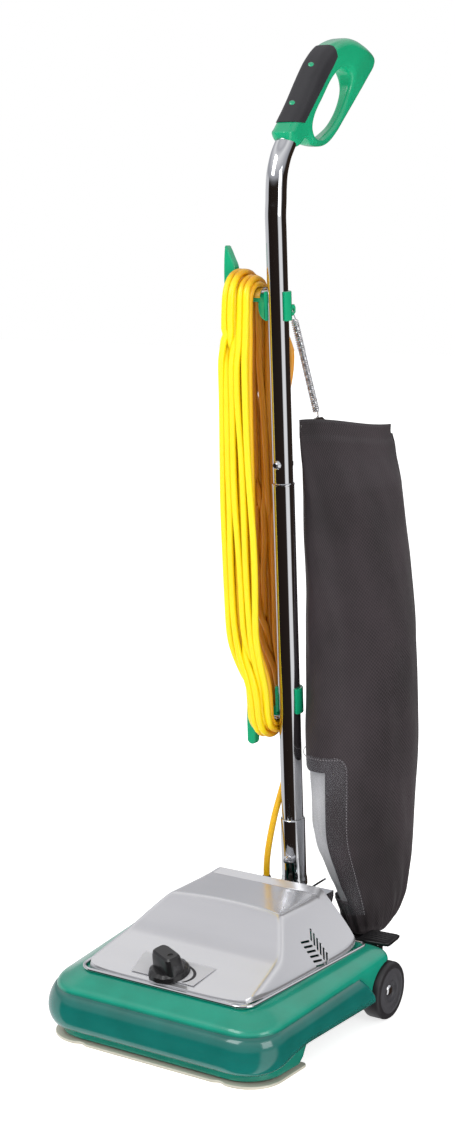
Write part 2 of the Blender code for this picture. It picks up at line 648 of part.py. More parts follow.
# ---- controls -------------------------------------------------------------------------
def height_knob():
    """Knob with a raised grip, its stem and the cam under the hood."""
    normal = Vector((0, -math.sin(SHELF_TILT), math.cos(SHELF_TILT)))
    seat = Vector((KNOB_X, KNOB_Y, hood_height(KNOB_X, KNOB_Y))) + normal * 0.0020
    profile = [(0, 0.0065), (0.0205, 0.0065), (0.0245, 0.0040), (0.0250, 0), (0.0050, 0),
               (0.0050, -0.0100), (0.0110, -0.0100), (0.0110, -0.0130), (0, -0.0130)]
    knob = turned("height_knob", BLACK, profile, seat, normal, steps=24)
    tilt = Matrix.Rotation(SHELF_TILT, 3, "X") @ Matrix.Rotation(math.radians(-24), 3, "Z")
    grip = bmesh.new()
    bmesh.ops.create_cube(grip, size=1.0)
    for vert in grip.verts:
        top = vert.co.z > 0
        vert.co = (math.copysign(0.0185 if top else 0.0215, vert.co.x),
                   math.copysign(0.0085 if top else 0.0105, vert.co.y), 0.0270 if top else 0.0040)
    grip = from_bmesh("grip", grip, BLACK, seat, tilt)
    soft = grip.modifiers.new("facets", "BEVEL")
    soft.width = 0.0035
    soft.segments = 1
    return join(knob, grip)


def roller_carriage():
    """Yoke under the chassis that lowers two rollers to lift the nozzle."""
    yoke = box("roller_carriage", BLACK, (-0.0500, -0.1120, 0.0095), (0.0500, -0.0980, 0.0185))
    arms = [box("arm", BLACK, (s * x - 0.0014, -0.1545, 0.0060), (s * x + 0.0014, -0.1000, 0.0145))
            for s in (-1, 1) for x in (0.0215, 0.0485)]
    join(yoke, *arms)
    cut(yoke, bar("bore", BLACK, (-0.070, CARRIAGE_Y, CARRIAGE_Z), (0.070, CARRIAGE_Y, CARRIAGE_Z),
                  0.003 + GAP),
        bar("bore", BLACK, (-0.070, ROLLER_Y, ROLLER_RADIUS), (0.070, ROLLER_Y, ROLLER_RADIUS), 0.0023))
    bar("carriage_pin", STEEL, (-0.0580, CARRIAGE_Y, CARRIAGE_Z), (0.0580, CARRIAGE_Y, CARRIAGE_Z), 0.003)
    for side, label in ((-1, "left"), (1, "right")):
        turned(f"front_roller_{label}", BLACK,
               tube_profile(ROLLER_RADIUS - 0.0001, 0.0023, -0.0112, 0.0112),
               (side * 0.0350, ROLLER_Y, ROLLER_RADIUS), (1, 0, 0), steps=20, ring=True)
        bar(f"roller_pin_{label}", STEEL, (side * 0.0195, ROLLER_Y, ROLLER_RADIUS),
            (side * 0.0505, ROLLER_Y, ROLLER_RADIUS), 0.0020, sides=10)


def release_pedal():
    """Foot pedal on a long shaft, with the pawl that holds the handle upright."""
    outline = [(0.112, 0.020), (0.117, 0.0190), (0.150, 0.0240), (0.1540, 0.0290), (0.1515, 0.0560),
               (0.1470, 0.0610), (0.118, 0.0590), (0.112, 0.0540)]
    pedal = as_mesh(plate("release_pedal", BLACK, [outline], 0.0040, (0, 0, 0.0820)))
    web = box("web", BLACK, (0.1250, 0.0225, 0.0735), (0.1360, 0.0300, 0.0810))
    shaft = bar("shaft", STEEL, (0.0465, PEDAL_Y, PEDAL_Z), (0.1425, PEDAL_Y, PEDAL_Z), 0.003)
    pawl = box("pawl", STEEL, (0.0480, 0.0215, 0.0700), (0.0535, 0.0290, 0.0770))
    join(pedal, web, shaft, pawl)
    turns, coil = 3, []
    for k in range(turns * 8 + 1):
        angle = math.tau * k / 8
        coil.append((0.1165 + 0.0065 * k / (turns * 8), PEDAL_Y + 0.0044 * math.cos(angle),
                     PEDAL_Z + 0.0044 * math.sin(angle)))
    wire("pedal_spring", STEEL, coil, 0.0006, resolution=1)
    return pedal


def switch_and_terminal():
    """Power switch with its lever, and the box and strain relief where the cord enters."""
    switch = box("switch_box", BLACK, (0.0300, 0.0183, 0.1000), (0.0500, 0.0290, 0.1300), bevel=0.001)
    cut(switch, box("well", BLACK, (0.0340, 0.0200, 0.1150), (0.0460, 0.0275, 0.1400)))
    lever = bar("switch_lever", CHROME, (0.0360, 0.0238, 0.1230), (0.0440, 0.0238, 0.1230), 0.0024)
    stem = box("stem", CHROME, (0.0368, 0.0226, 0.1230), (0.0432, 0.0250, 0.1345))
    tab = box("tab", CHROME, (-0.0012, -0.0032, 0), (0.0012, 0.0032, 0.0290),
              origin=(0.0400, 0.0238, 0.1330), turn=Matrix.Rotation(math.radians(53), 3, "Y"))
    join(lever, stem, tab)
    box("terminal_box", BLACK, (-0.0370, 0.0183, 0.0800), (-0.0110, 0.0340, 0.1080), bevel=0.0015)
    turned("cord_strain_relief", BLACK,
           [(0, 0.1390), (0.0052, 0.1390), (0.0056, 0.1370), (0.0078, 0.1130), (0.0095, 0.1120),
            (0.0095, 0.1083), (0, 0.1083)], (-0.0235, 0.0262, 0), steps=16)


# ---- handle ---------------------------------------------------------------------------
def handle_foot():
    """Forked bail on its pivot pins, and the socket for the tube."""
    outline = []
    for k in range(9):
        angle = math.radians(180 + 22.5 * k)
        outline.append((PIVOT_Y + 0.0095 * math.cos(angle), PIVOT_Z + 0.0095 * math.sin(angle)))
    outline += [(0.0655, 0.1150), (0.0655, 0.1220), (0.0480, 0.1220), (0.0450, 0.1150)]
    turn = Matrix(((0, 0, 1), (1, 0, 0), (0, 1, 0)))
    arms = [as_mesh(plate("arm", CHROME, [outline], ARM_THICKNESS,
                          (s * (ARM_INNER + ARM_THICKNESS / 2), 0, 0), turn)) for s in (-1, 1)]
    bail = box("handle_bail", CHROME, (-ARM_INNER - ARM_THICKNESS + 0.0001, 0.0481, 0.1180),
               (ARM_INNER + ARM_THICKNESS - 0.0001, 0.0654, 0.1219))
    join(bail, *arms)
    cut(bail, bar("bore", STEEL, (-0.080, PIVOT_Y, PIVOT_Z), (0.080, PIVOT_Y, PIVOT_Z),
                  PIVOT_RADIUS + GAP))
    for side, label in ((-1, "left"), (1, "right")):
        bar(f"pivot_pin_{label}", STEEL, (side * 0.0470, PIVOT_Y, PIVOT_Z),
            (side * 0.0655, PIVOT_Y, PIVOT_Z), PIVOT_RADIUS)
    foot = Vector((0, tube_y(SOCKET_TOP), SOCKET_TOP))
    socket = turned("handle_socket", CHROME,
                    [(0.0157, 0), (0.0157, -0.0780), (0.0168, -0.0820), (0.0168, -0.0895),
                     (0.0100, -0.0895), (0.0100, -0.0855), (0.0141, -0.0855), (0.0141, 0)],
                    foot, lean() @ Vector((0, 0, 1)), steps=20, ring=True)
    cut(socket, bar("bolt_hole", STEEL, (0, 0.010, 0.160), (0, 0.100, 0.160), 0.0033, sides=12))
    return bail


def cross_bolt(name, z, reach, nut):
    """Bolt and nut through the tubes, front to rear."""
    y = tube_y(z)
    shank = bar(name, CHROME, (0, y - reach, z), (0, y + reach, z), 0.0030, sides=12)
    head = bar("head", CHROME, (0, y - nut - 0.0034, z), (0, y - nut, z), 0.0036, sides=16, tip=0.0056)
    hexagon = bar("nut", CHROME, (0, y + nut, z), (0, y + nut + 0.0045, z), 0.0056, sides=6)
    return join(shank, head, hexagon)


def tube_piece(name, route, radius, wall, resolution=4):
    """A bent tube, open at both ends."""
    pipe = as_mesh(wire(name, CHROME, route, radius, resolution, caps=False))
    walls = pipe.modifiers.new("wall", "SOLIDIFY")
    walls.thickness = wall
    walls.offset = -1.0
    return pipe


GRIP_AXIS = [(0.0040, 0.9850), (0.0044, 1.0000), (0.0065, 1.0170), (0.0140, 1.0360), (0.0240, 1.0505),
             (0.0400, 1.0725), (0.0560, 1.0930), (0.0660, 1.1050)]


def wands():
    """Lower and upper handle tubes with their bolts."""
    low, high = 0.1325, WAND_JOINT
    lower = tube_piece("lower_wand", [(0, tube_y(low), low), (0, tube_y(high), high)],
                       LOWER_TUBE_RADIUS, TUBE_WALL)
    start = WAND_JOINT - 0.006
    route = [(0, tube_y(start), start), (0, tube_y(0.80), 0.80), (0, tube_y(0.95), 0.95)]
    route += smooth_path([(0, y, z) for y, z in GRIP_AXIS], 0.010)
    upper = tube_piece("upper_wand", route, UPPER_TUBE_RADIUS, 0.0012)
    cut(lower, bar("hole", STEEL, (0, 0.010, 0.160), (0, 0.100, 0.160), 0.0033, sides=12))
    cut(upper, bar("hole", STEEL, (0, -0.030, 0.668), (0, 0.080, 0.668), 0.0033, sides=12))
    cross_bolt("socket_bolt", 0.160, 0.0210, 0.0164)
    cross_bolt("wand_bolt", 0.668, 0.0182, 0.0133)


def clip_outline(inner, outer, open_half_angle):
    """C-shaped outline around the tube, open to the front."""
    sweep = 360 - 2 * open_half_angle
    angles = [math.radians(-90 + open_half_angle + sweep * k / 16) for k in range(17)]
    loop = [(outer * math.cos(a), outer * math.sin(a)) for a in angles]
    return loop + [(inner * math.cos(a), inner * math.sin(a)) for a in reversed(angles)]


def cord_hook(label, saddle_z, clip_low, clip_high, tube_radius, arm_end, peg, upward):
    """One cord hook: clip on the tube, arm, end peg and the bright saddle for the loops."""
    middle = (clip_low + clip_high) / 2
    clip = as_mesh(plate(f"{label}_hook", GREEN, [clip_outline(tube_radius + GAP, tube_radius + 0.0038, 62)],
                         clip_high - clip_low, (0, tube_y(middle), middle), lean()))
    y = tube_y(saddle_z)
    root_x = -(tube_radius + 0.0015)
    arm = box("arm", GREEN, (arm_end, y - 0.0052, saddle_z - 0.0052), (root_x, y + 0.0052, saddle_z + 0.0052))
    web = box("web", GREEN, (root_x - 0.0030, y - 0.0050, clip_low + 0.001),
              (root_x, y + 0.0050, clip_high - 0.001))
    turn = Matrix(((1, 0, 0), (0, 0, -1), (0, 1, 0)))
    horn = as_mesh(plate("horn", GREEN, [peg], 0.0120, (0, y, 0), turn, bevel=0.002))
    join(clip, arm, web, horn)
    start, end = (0, 180) if upward else (180, 360)
    angles = [math.radians(start + (end - start) * k / 10) for k in range(11)]
    outer, inner = SADDLE_RADIUS, SADDLE_RADIUS - 0.0020
    loop = [(outer * math.cos(a), outer * math.sin(a)) for a in angles]
    loop += [(inner * math.cos(a), inner * math.sin(a)) for a in reversed(angles)]
    turn = Matrix(((0, 0, 1), (1, 0, 0), (0, 1, 0)))
    near, far = root_x - 0.0034, arm_end + 0.0008
    plate(f"{label}_hook_saddle", CHROME, [loop], near - far, ((near + far) / 2, y, saddle_z), turn)
    return clip


def cord_hooks():
    """Upper and lower cord hooks, which point to the side and away from each other."""
    horn = [(-0.0725, 0.8610), (-0.0596, 0.8610), (-0.0596, 0.8980), (-0.0600, 0.9080), (-0.0640, 0.9200),
            (-0.0705, 0.9310), (-0.0735, 0.9315), (-0.0738, 0.9000)]
    upper = cord_hook("upper", UPPER_SADDLE_Z, 0.8430, 0.8780, UPPER_TUBE_RADIUS, -0.0600, horn, True)
    y = tube_y(0.856)
    lug = box("lug", GREEN, (-0.0025, y + 0.0145, 0.8460), (0.0025, y + 0.0370, 0.8620))
    join(upper, lug)
    cut(upper, bar("eye", GREEN, (-0.010, y + 0.0320, 0.8545), (0.010, y + 0.0320, 0.8545), 0.0028, sides=12))
    peg = [(-0.0475, 0.3610), (-0.0475, 0.3120), (-0.0500, 0.3060), (-0.0550, 0.3050), (-0.0590, 0.3080),
           (-0.0600, 0.3150), (-0.0600, 0.3610)]
    cord_hook("lower", LOWER_SADDLE_Z, 0.3535, 0.3860, LOWER_TUBE_RADIUS, -0.0480, peg, False)


# ---- bag ------------------------------------------------------------------------------
# height, middle x, half thickness, front y, rear y of the bag's sections
BAG_SECTIONS = [(0.7030, 0.008, 0.0055, 0.048, 0.284), (0.6880, 0.010, 0.0105, 0.047, 0.289),
                (0.6240, 0.018, 0.0260, 0.047, 0.291), (0.5165, 0.030, 0.0400, 0.046, 0.285),
                (0.4100, 0.042, 0.0490, 0.038, 0.270), (0.3300, 0.052, 0.0520, 0.022, 0.253),
                (0.2665, 0.060, 0.0500, 0.012, 0.239), (0.2034, 0.067, 0.0460, 0.008, 0.225),
                (0.1430, 0.076, 0.0380, 0.030, 0.207), (0.1086, 0.086, 0.0310, 0.040, 0.179),
                (0.0920, 0.088, 0.0280, 0.045, 0.160), (0.0830, 0.088, 0.0280, 0.049, 0.142),
                (0.0765, 0.088, 0.0265, 0.051, 0.118)]


def bag_point(section, angle, proud=0.0):
    """Point on a section: angle 0 is the front edge, 90 degrees the +X side."""
    z, middle, half, front, rear = section
    return (middle + (half + proud) * math.sin(angle),
            (front + rear) / 2 - ((rear - front) / 2 + proud) * math.cos(angle), z)


def cloth_bag():
    """Soft outer bag: a thin skin, open at its neck."""
    around = 20
    rings = [[bag_point(section, math.tau * k / around) for k in range(around)]
             for section in BAG_SECTIONS]
    return skin("cloth_bag", CLOTH, rings, 0.0014, closed_ends=True)


def vinyl_window():
    """Clear sheet sewn over the lower front of the bag."""
    columns = 8
    shape = bmesh.new()
    sections = [s for s in BAG_SECTIONS if 0.100 < s[0] < 0.335]
    rows = [[shape.verts.new(bag_point(section, math.radians(-40 + 80 * k / columns), 0.0022))
             for k in range(columns + 1)] for section in sections]
    for upper, lower in zip(rows, rows[1:]):
        for k in range(columns):
            shape.faces.new((upper[k], lower[k], lower[k + 1], upper[k + 1]))
    window = from_bmesh("vinyl_window", shape, VINYL)
    walls = window.modifiers.new("wall", "SOLIDIFY")
    walls.thickness = 0.0006
    walls.offset = 0.0
    return window


def bag_hardware():
    """Closing strip at the bag's top and the spring that holds it up."""
    top = [(0.0500, 0.0), (0.2800, 0.0), (0.2800, 0.0090), (0.1100, 0.0090), (0.1000, 0.0170),
           (0.0880, 0.0170), (0.0800, 0.0090), (0.0500, 0.0090)]
    turn = Matrix(((0, 0, 1), (1, 0, 0), (0, 1, 0)))
    strip = as_mesh(plate("bag_top_strip", STEEL, [top], 0.0024, (0.0080, 0, 0.7036), turn))
    cut(strip, bar("eye", STEEL, (-0.01, 0.0940, 0.7160), (0.03, 0.0940, 0.7160), 0.0026, sides=12))
    high = Vector((0, tube_y(0.856) + 0.0320, 0.8490))
    low = Vector((0.0080, 0.0940, 0.7235))
    line = (low - high).normalized()
    across = Vector((1, 0, 0))
    normal = line.cross(across)
    turns, coil_radius = 10, 0.0040
    start, end = high + line * 0.004, low - line * 0.006
    points = []
    for k in range(turns * 8 + 1):
        angle = math.tau * k / 8
        points.append(start.lerp(end, k / (turns * 8))
                      + across * coil_radius * math.cos(angle) + normal * coil_radius * math.sin(angle))
    wire("bag_spring", CHROME, points, 0.0009, resolution=1)


# ---- grip -----------------------------------------------------------------------------
GRIP_OUTLINE = [(0.0100, 1.0640), (0.0420, 1.0990), (0.0700, 1.1340), (0.0900, 1.1560), (0.1140, 1.1730),
                (0.1450, 1.1830), (0.1720, 1.1835), (0.2000, 1.1770), (0.2300, 1.1680), (0.2320, 1.1560),
                (0.2150, 1.1390), (0.1880, 1.1140), (0.1560, 1.0850), (0.1380, 1.0690), (0.1180, 1.0560),
                (0.0980, 1.0510), (0.0720, 1.0520), (0.0560, 1.0590), (0.0360, 1.0480), (0.0180, 1.0540)]
HAND_HOLE = [(0.0720, 1.0640), (0.0690, 1.0740), (0.0760, 1.0890), (0.0930, 1.1080), (0.1120, 1.1290),
             (0.1320, 1.1430), (0.1530, 1.1460), (0.1640, 1.1380), (0.1640, 1.1210), (0.1510, 1.0990),
             (0.1330, 1.0810), (0.1140, 1.0690), (0.0930, 1.0610)]
PAD_PATH = [(0.0200, 1.0790), (0.0440, 1.1050), (0.0680, 1.1350), (0.0880, 1.1580), (0.1100, 1.1740)]


def grip():
    """D-shaped grip, its rubber pad and its clamp screw."""
    turn = Matrix(((0, 0, 1), (1, 0, 0), (0, 1, 0)))
    body = as_mesh(plate("grip_body", GREEN, [GRIP_OUTLINE, HAND_HOLE], 0.0300, (0, 0, 0), turn, bevel=0.006))
    route = smooth_path([(0, y, z) for y, z in GRIP_AXIS[2:]] + [(0, 0.0685, 1.1080)], 0.010)
    cut(body, as_mesh(wire("bore", GREEN, route, UPPER_TUBE_RADIUS + GAP, 4)))
    outer = [(y - 0.0052, z + 0.0042) for y, z in PAD_PATH]
    inner = [(y + 0.0016, z - 0.0014) for y, z in reversed(PAD_PATH)]
    recess = as_mesh(plate("recess", GREEN, [[(y - 0.02, z + 0.016) for y, z in PAD_PATH]
                                             + [(y + 0.0021, z - 0.0018) for y, z in reversed(PAD_PATH)]],
                           0.0262, (0, 0, 0), turn))
    cut(body, recess)
    plate("grip_pad", RUBBER, [outer + inner], 0.0256, (0, 0, 0), turn, bevel=0.0012)
    bar("grip_screw", STEEL, (0, 0.0265, 1.0440), (0, 0.0295, 1.0480), 0.0030, sides=12)
    return body


# ---- cord -----------------------------------------------------------------------------
CORD_ROUTE = [(-0.0235, 0.0262, 0.1393), (-0.0235, 0.0264, 0.1560), (-0.0225, 0.0300, 0.1800),
              (-0.0205, 0.0400, 0.2150), (-0.0170, 0.0530, 0.2500), (-0.0120, 0.0640, 0.2900),
              (-0.0085, 0.0680, 0.3400), (-0.0085, 0.0670, 0.3900), (-0.0095, 0.0600, 0.4500),
              (-0.0120, 0.0530, 0.5200), (-0.0150, 0.0460, 0.6000), (-0.0160, 0.0400, 0.6700),
              (-0.0080, 0.0360, 0.7300), (0.0040, 0.0320, 0.7800), (0.0050, 0.0310, 0.8100),
              (-0.0040, 0.0340, 0.8300), (-0.0170, 0.0380, 0.8360), (-0.0205, 0.0385, 0.8420)]


def hank_station(centre_y, centre_z, outward, depth, middle_x, half_x):
    """Four corners of the hank's section at one place around the loop."""
    inner = SADDLE_RADIUS + GAP
    corners = []
    for x, reach in ((-1, inner), (1, inner), (1, inner + depth), (-1, inner + depth)):
        corners.append((middle_x + x * half_x, centre_y + outward[0] * reach, centre_z + outward[1] * reach))
    return corners


def cord_hank():
    """Outer shape of the loops of cord that hang on the two hooks."""
    top_y, low_y = tube_y(UPPER_SADDLE_Z), tube_y(LOWER_SADDLE_Z)
    wide = (0.0170, -0.0510, 0.0212)
    crown = (0.0250, -0.0423, 0.0166)
    heel = (0.0250, -0.0300, 0.0162)
    stations = []
    for k in range(9):
        angle = math.radians(180 - 22.5 * k)
        stations.append(hank_station(top_y, UPPER_SADDLE_Z, (math.cos(angle), math.sin(angle)), *crown))
    heights = (0.80, 0.70, 0.60, 0.50, 0.42)
    for z in heights:
        stations.append(hank_station(tube_y(z), z, (1, 0), *wide))
    for k in range(9):
        angle = math.radians(-22.5 * k)
        stations.append(hank_station(low_y, LOWER_SADDLE_Z, (math.cos(angle), math.sin(angle)), *heel))
    for z in reversed(heights):
        stations.append(hank_station(tube_y(z), z, (-1, 0), *wide))
    shape = bmesh.new()
    rings = [[shape.verts.new(p) for p in station] for station in stations]
    for ring, following in zip(rings, rings[1:] + rings[:1]):
        for i in range(4):
            j = (i + 1) % 4
            shape.faces.new((ring[i], following[i], following[j], ring[j]))
    return from_bmesh("cord_hank", shape, YELLOW)


def cord_and_plug():
    """Supply stretch, hank, the short tail behind it and the plug on its end."""
    wire("supply_cord", YELLOW, smooth_path(CORD_ROUTE, 0.018), CORD_RADIUS)
    cord_hank()
    tail_y = 0.0125 + 0.0170 + CORD_RADIUS + 0.0004
    tail = [(-0.0510, tube_y(z) + tail_y + lift, z)
            for z, lift in ((0.5200, 0), (0.5520, 0.0004), (0.5840, 0.0018), (0.6160, 0.0030))]
    wire("cord_tail", YELLOW, smooth_path(tail, 0.0105), CORD_RADIUS)
    y = tube_y(0.642) + tail_y + 0.0080
    plug = box("power_plug", YELLOW, (-0.0640, y - 0.0110, 0.6300), (-0.0380, y + 0.0110, 0.6540),
               bevel=0.004)
    neck = turned("neck", YELLOW, [(0, 0.6320), (0.0070, 0.6320), (0.0052, 0.6170), (0, 0.6170)],
                  (-0.0510, tube_y(0.624) + tail_y + 0.0034, 0), steps=12)
    blades = [box("blade", STEEL, (x - 0.00075, y - 0.0063, 0.6520), (x + 0.00075, y - 0.0003, 0.6720))
              for x in (-0.0573, -0.0447)]
    ground = bar("ground", STEEL, (-0.0510, y + 0.0055, 0.6520), (-0.0510, y + 0.0055, 0.6750), 0.0024,
                 sides=10)
    join(plug, neck, *blades, ground)


def main():
    """Make every part of the machine."""
    base_housing()
    furniture_guard()
    motor_hood()
    hood_trim()
    dial_plate()
    sole_plate()
    nozzle_chamber()
    base_frame()
    rear_running_gear()
    brush()
    drive_belt()
    motor()
    exhaust()
    height_knob()
    roller_carriage()
    release_pedal()
    switch_and_terminal()
    handle_foot()
    wands()
    cord_hooks()
    cloth_bag()
    vinyl_window()
    bag_hardware()
    grip()
    cord_and_plug()


main()
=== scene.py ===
"""Looks of an upright vacuum cleaner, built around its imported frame.

Every piece is drawn about the rear wheels' axle, like the machine's own drawings: metres, +Z up,
front towards -Y, cord hooks on the -X side. Bench.place moves it to the frame's own origin.
"""
from __future__ import annotations

import json
import logging
import math
from dataclasses import dataclass
from enum import Enum
from typing import Callable, Iterable, Sequence

import bmesh
import bpy
from mathutils import Matrix, Vector, kdtree, noise
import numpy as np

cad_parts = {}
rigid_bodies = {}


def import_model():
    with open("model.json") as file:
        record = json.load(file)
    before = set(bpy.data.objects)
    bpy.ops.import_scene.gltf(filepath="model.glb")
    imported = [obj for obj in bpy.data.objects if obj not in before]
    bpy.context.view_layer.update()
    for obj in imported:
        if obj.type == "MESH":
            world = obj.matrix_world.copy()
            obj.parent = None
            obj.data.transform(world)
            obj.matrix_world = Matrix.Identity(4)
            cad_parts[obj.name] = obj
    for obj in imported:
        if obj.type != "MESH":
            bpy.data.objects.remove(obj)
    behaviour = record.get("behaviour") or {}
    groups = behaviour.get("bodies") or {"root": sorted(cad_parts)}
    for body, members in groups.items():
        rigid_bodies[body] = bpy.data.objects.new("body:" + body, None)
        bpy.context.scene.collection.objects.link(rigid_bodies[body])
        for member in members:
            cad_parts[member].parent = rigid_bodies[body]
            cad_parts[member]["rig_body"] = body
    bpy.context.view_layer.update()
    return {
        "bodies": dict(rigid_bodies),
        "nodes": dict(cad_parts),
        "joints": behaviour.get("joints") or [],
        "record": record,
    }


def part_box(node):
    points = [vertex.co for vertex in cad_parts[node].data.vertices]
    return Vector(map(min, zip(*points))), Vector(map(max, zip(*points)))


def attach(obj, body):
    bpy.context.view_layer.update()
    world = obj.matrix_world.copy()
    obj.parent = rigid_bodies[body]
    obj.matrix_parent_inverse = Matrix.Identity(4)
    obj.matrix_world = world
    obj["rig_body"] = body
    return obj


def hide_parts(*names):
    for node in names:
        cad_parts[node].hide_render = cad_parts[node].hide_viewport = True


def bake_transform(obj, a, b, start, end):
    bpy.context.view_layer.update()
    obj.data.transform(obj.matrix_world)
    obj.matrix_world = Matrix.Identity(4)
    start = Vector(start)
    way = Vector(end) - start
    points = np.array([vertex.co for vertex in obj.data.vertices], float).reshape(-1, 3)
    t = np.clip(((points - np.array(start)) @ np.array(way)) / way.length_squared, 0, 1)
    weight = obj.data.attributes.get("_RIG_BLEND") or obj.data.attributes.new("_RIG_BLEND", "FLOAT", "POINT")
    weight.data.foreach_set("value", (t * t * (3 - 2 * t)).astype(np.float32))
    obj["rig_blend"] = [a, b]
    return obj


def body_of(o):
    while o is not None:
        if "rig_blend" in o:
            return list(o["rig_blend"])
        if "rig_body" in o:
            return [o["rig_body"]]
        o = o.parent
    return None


LOG = logging.getLogger("vacuum_cleaner")
Point = Sequence[float]
Flat = tuple[float, float]
Shape = bmesh.types.BMesh
Material = bpy.types.Material

# Shared places of the machine, as its drawings give them.
TUBE_LEAN = math.radians(3.61)
TUBE_Y, TUBE_Z = 0.0507, 0.2134
LOWER_TUBE_RADIUS, UPPER_TUBE_RADIUS = 0.0138, 0.0127
UPPER_SADDLE_Z, LOWER_SADDLE_Z, SADDLE_RADIUS = 0.8700, 0.3520, 0.0120
CORD_RADIUS = 0.0041
SHELF_TILT = math.radians(14.0)
KNOB_X, KNOB_Y = -0.004, -0.2195
SIDEWAYS = Matrix(((0, 0, 1), (1, 0, 0), (0, 1, 0)))     # a flat outline (y, z) stood up facing +X


# ---- small tools ---------------------------------------------------------------------
def linear(code: str) -> tuple[float, float, float, float]:
    """Turn an sRGB hex colour into linear RGBA.

    Args:
        code: Colour as "#RRGGBB".

    Returns:
        Linear red, green, blue and an alpha of 1.
    """
    parts = [int(code[i:i + 2], 16) / 255 for i in (1, 3, 5)]
    red, green, blue = (c / 12.92 if c <= 0.04045 else ((c + 0.055) / 1.055) ** 2.4 for c in parts)
    return red, green, blue, 1.0


def add_node(tree: bpy.types.NodeTree, kind: str, settings: dict | None = None,
             links: dict | None = None) -> bpy.types.Node:
    """Add a node with its settings and its incoming links.

    Args:
        tree: Node tree to add to.
        kind: Node type, such as "ShaderNodeBump".
        settings: Values by socket name, socket number or property name.
        links: Source sockets by the name or number of the input they feed.

    Returns:
        The new node.
    """
    made = tree.nodes.new(kind)
    for key, value in (settings or {}).items():
        if isinstance(key, int) or key in made.inputs:
            made.inputs[key].default_value = value
        else:
            setattr(made, key, value)
    for key, source in (links or {}).items():
        tree.links.new(source, made.inputs[key])
    return made


def set_ramp(ramp: bpy.types.Node, stops: Sequence[tuple[float, str]]) -> bpy.types.NodeSocket:
    """Set a colour ramp's stops and return its colour output.

    Args:
        ramp: A ColorRamp node.
        stops: Places from 0 to 1 with their sRGB hex colours.

    Returns:
        The ramp's colour socket.
    """
    elements = ramp.color_ramp.elements
    while len(elements) < len(stops):
        elements.new(0.5)
    for element, (place, code) in zip(elements, stops):
        element.position = place
        element.color = linear(code)
    return ramp.outputs["Color"]


def tube_y(z: float) -> float:
    """Y of the handle tube's axis at a height."""
    return TUBE_Y - (z - TUBE_Z) * math.tan(TUBE_LEAN)


def smooth_step(value: float, low: float, high: float) -> float:
    """Ease from 0 at low to 1 at high."""
    share = min(1.0, max(0.0, (value - low) / (high - low)))
    return share * share * (3 - 2 * share)


def spline(points: Sequence[Point], share: float) -> list[float]:
    """Point on the Catmull-Rom curve through some points.

    Args:
        points: Control points of any number of coordinates.
        share: Place along them, 0 to 1.

    Returns:
        The coordinates there.
    """
    spans = len(points) - 1
    place = min(max(share, 0.0), 1.0) * spans
    i = min(int(place), spans - 1)
    t = place - i
    b, c = points[i], points[i + 1]
    a = points[i - 1] if i else [2 * p - q for p, q in zip(b, c)]
    d = points[i + 2] if i + 2 < len(points) else [2 * q - p for p, q in zip(b, c)]
    return [0.5 * (2 * q + (r - p) * t + (2 * p - 5 * q + 4 * r - s) * t * t
                   + (3 * q - p - 3 * r + s) * t ** 3) for p, q, r, s in zip(a, b, c, d)]


def smooth_path(points: Sequence[Point], spacing: float) -> list[Vector]:
    """Points a set distance apart along the smooth curve through a route.

    Args:
        points: The route's own points.
        spacing: Distance between neighbours in metres.

    Returns:
        Evenly spaced points, both ends included.
    """
    fine = [Vector(spline(points, k / (24 * (len(points) - 1)))) for k in range(24 * (len(points) - 1) + 1)]
    return evenly_spaced(fine, spacing)


def evenly_spaced(fine: Sequence[Vector], spacing: float) -> list[Vector]:
    """Walk along a dense line and drop a point every so often.

    Args:
        fine: Dense points.
        spacing: Wanted distance in metres.

    Returns:
        Points at an even distance close to the wanted one.
    """
    length = sum((q - p).length for p, q in zip(fine, fine[1:]))
    count = max(2, round(length / spacing))
    found, walked, target = [fine[0].copy()], 0.0, length / count
    for p, q in zip(fine, fine[1:]):
        step = (q - p).length
        while walked + step >= target and len(found) < count:
            found.append(p.lerp(q, (target - walked) / step))
            target += length / count
        walked += step
    found.append(fine[-1].copy())
    return found


def plan_outline(front: float, rear: float, front_half: float, rear_half: float, front_round: float,
                 rear_round: float, corner: int, side: int, nose: int) -> list[Flat]:
    """Plan of a body that widens to the rear, with round corners and evenly marked sides.

    Args:
        front, rear: Y of its front and rear edges.
        front_half, rear_half: Half widths there.
        front_round, rear_round: Corner radii.
        corner, side, nose: Steps around a corner, along a side and across the front.

    Returns:
        Points anticlockwise from the front right corner.
    """
    corners = ((front_half, front, front_round, -90), (rear_half, rear, rear_round, 0),
               (-rear_half, rear, rear_round, 90), (-front_half, front, front_round, 180))
    arcs = []
    for x, y, radius, start in corners:
        middle_x = x - math.copysign(radius, x)
        middle_y = y + radius if y == front else y - radius
        angles = [math.radians(start + 90 * k / corner) for k in range(corner + 1)]
        arcs.append([(middle_x + radius * math.cos(a), middle_y + radius * math.sin(a)) for a in angles])
    points: list[Flat] = []
    for index, arc in enumerate(arcs):
        points += arc
        follow, steps = arcs[(index + 1) % 4][0], (side, nose, side, nose)[index]
        for k in range(1, steps):
            points.append(tuple(a + (b - a) * k / steps for a, b in zip(arc[-1], follow)))
    return points


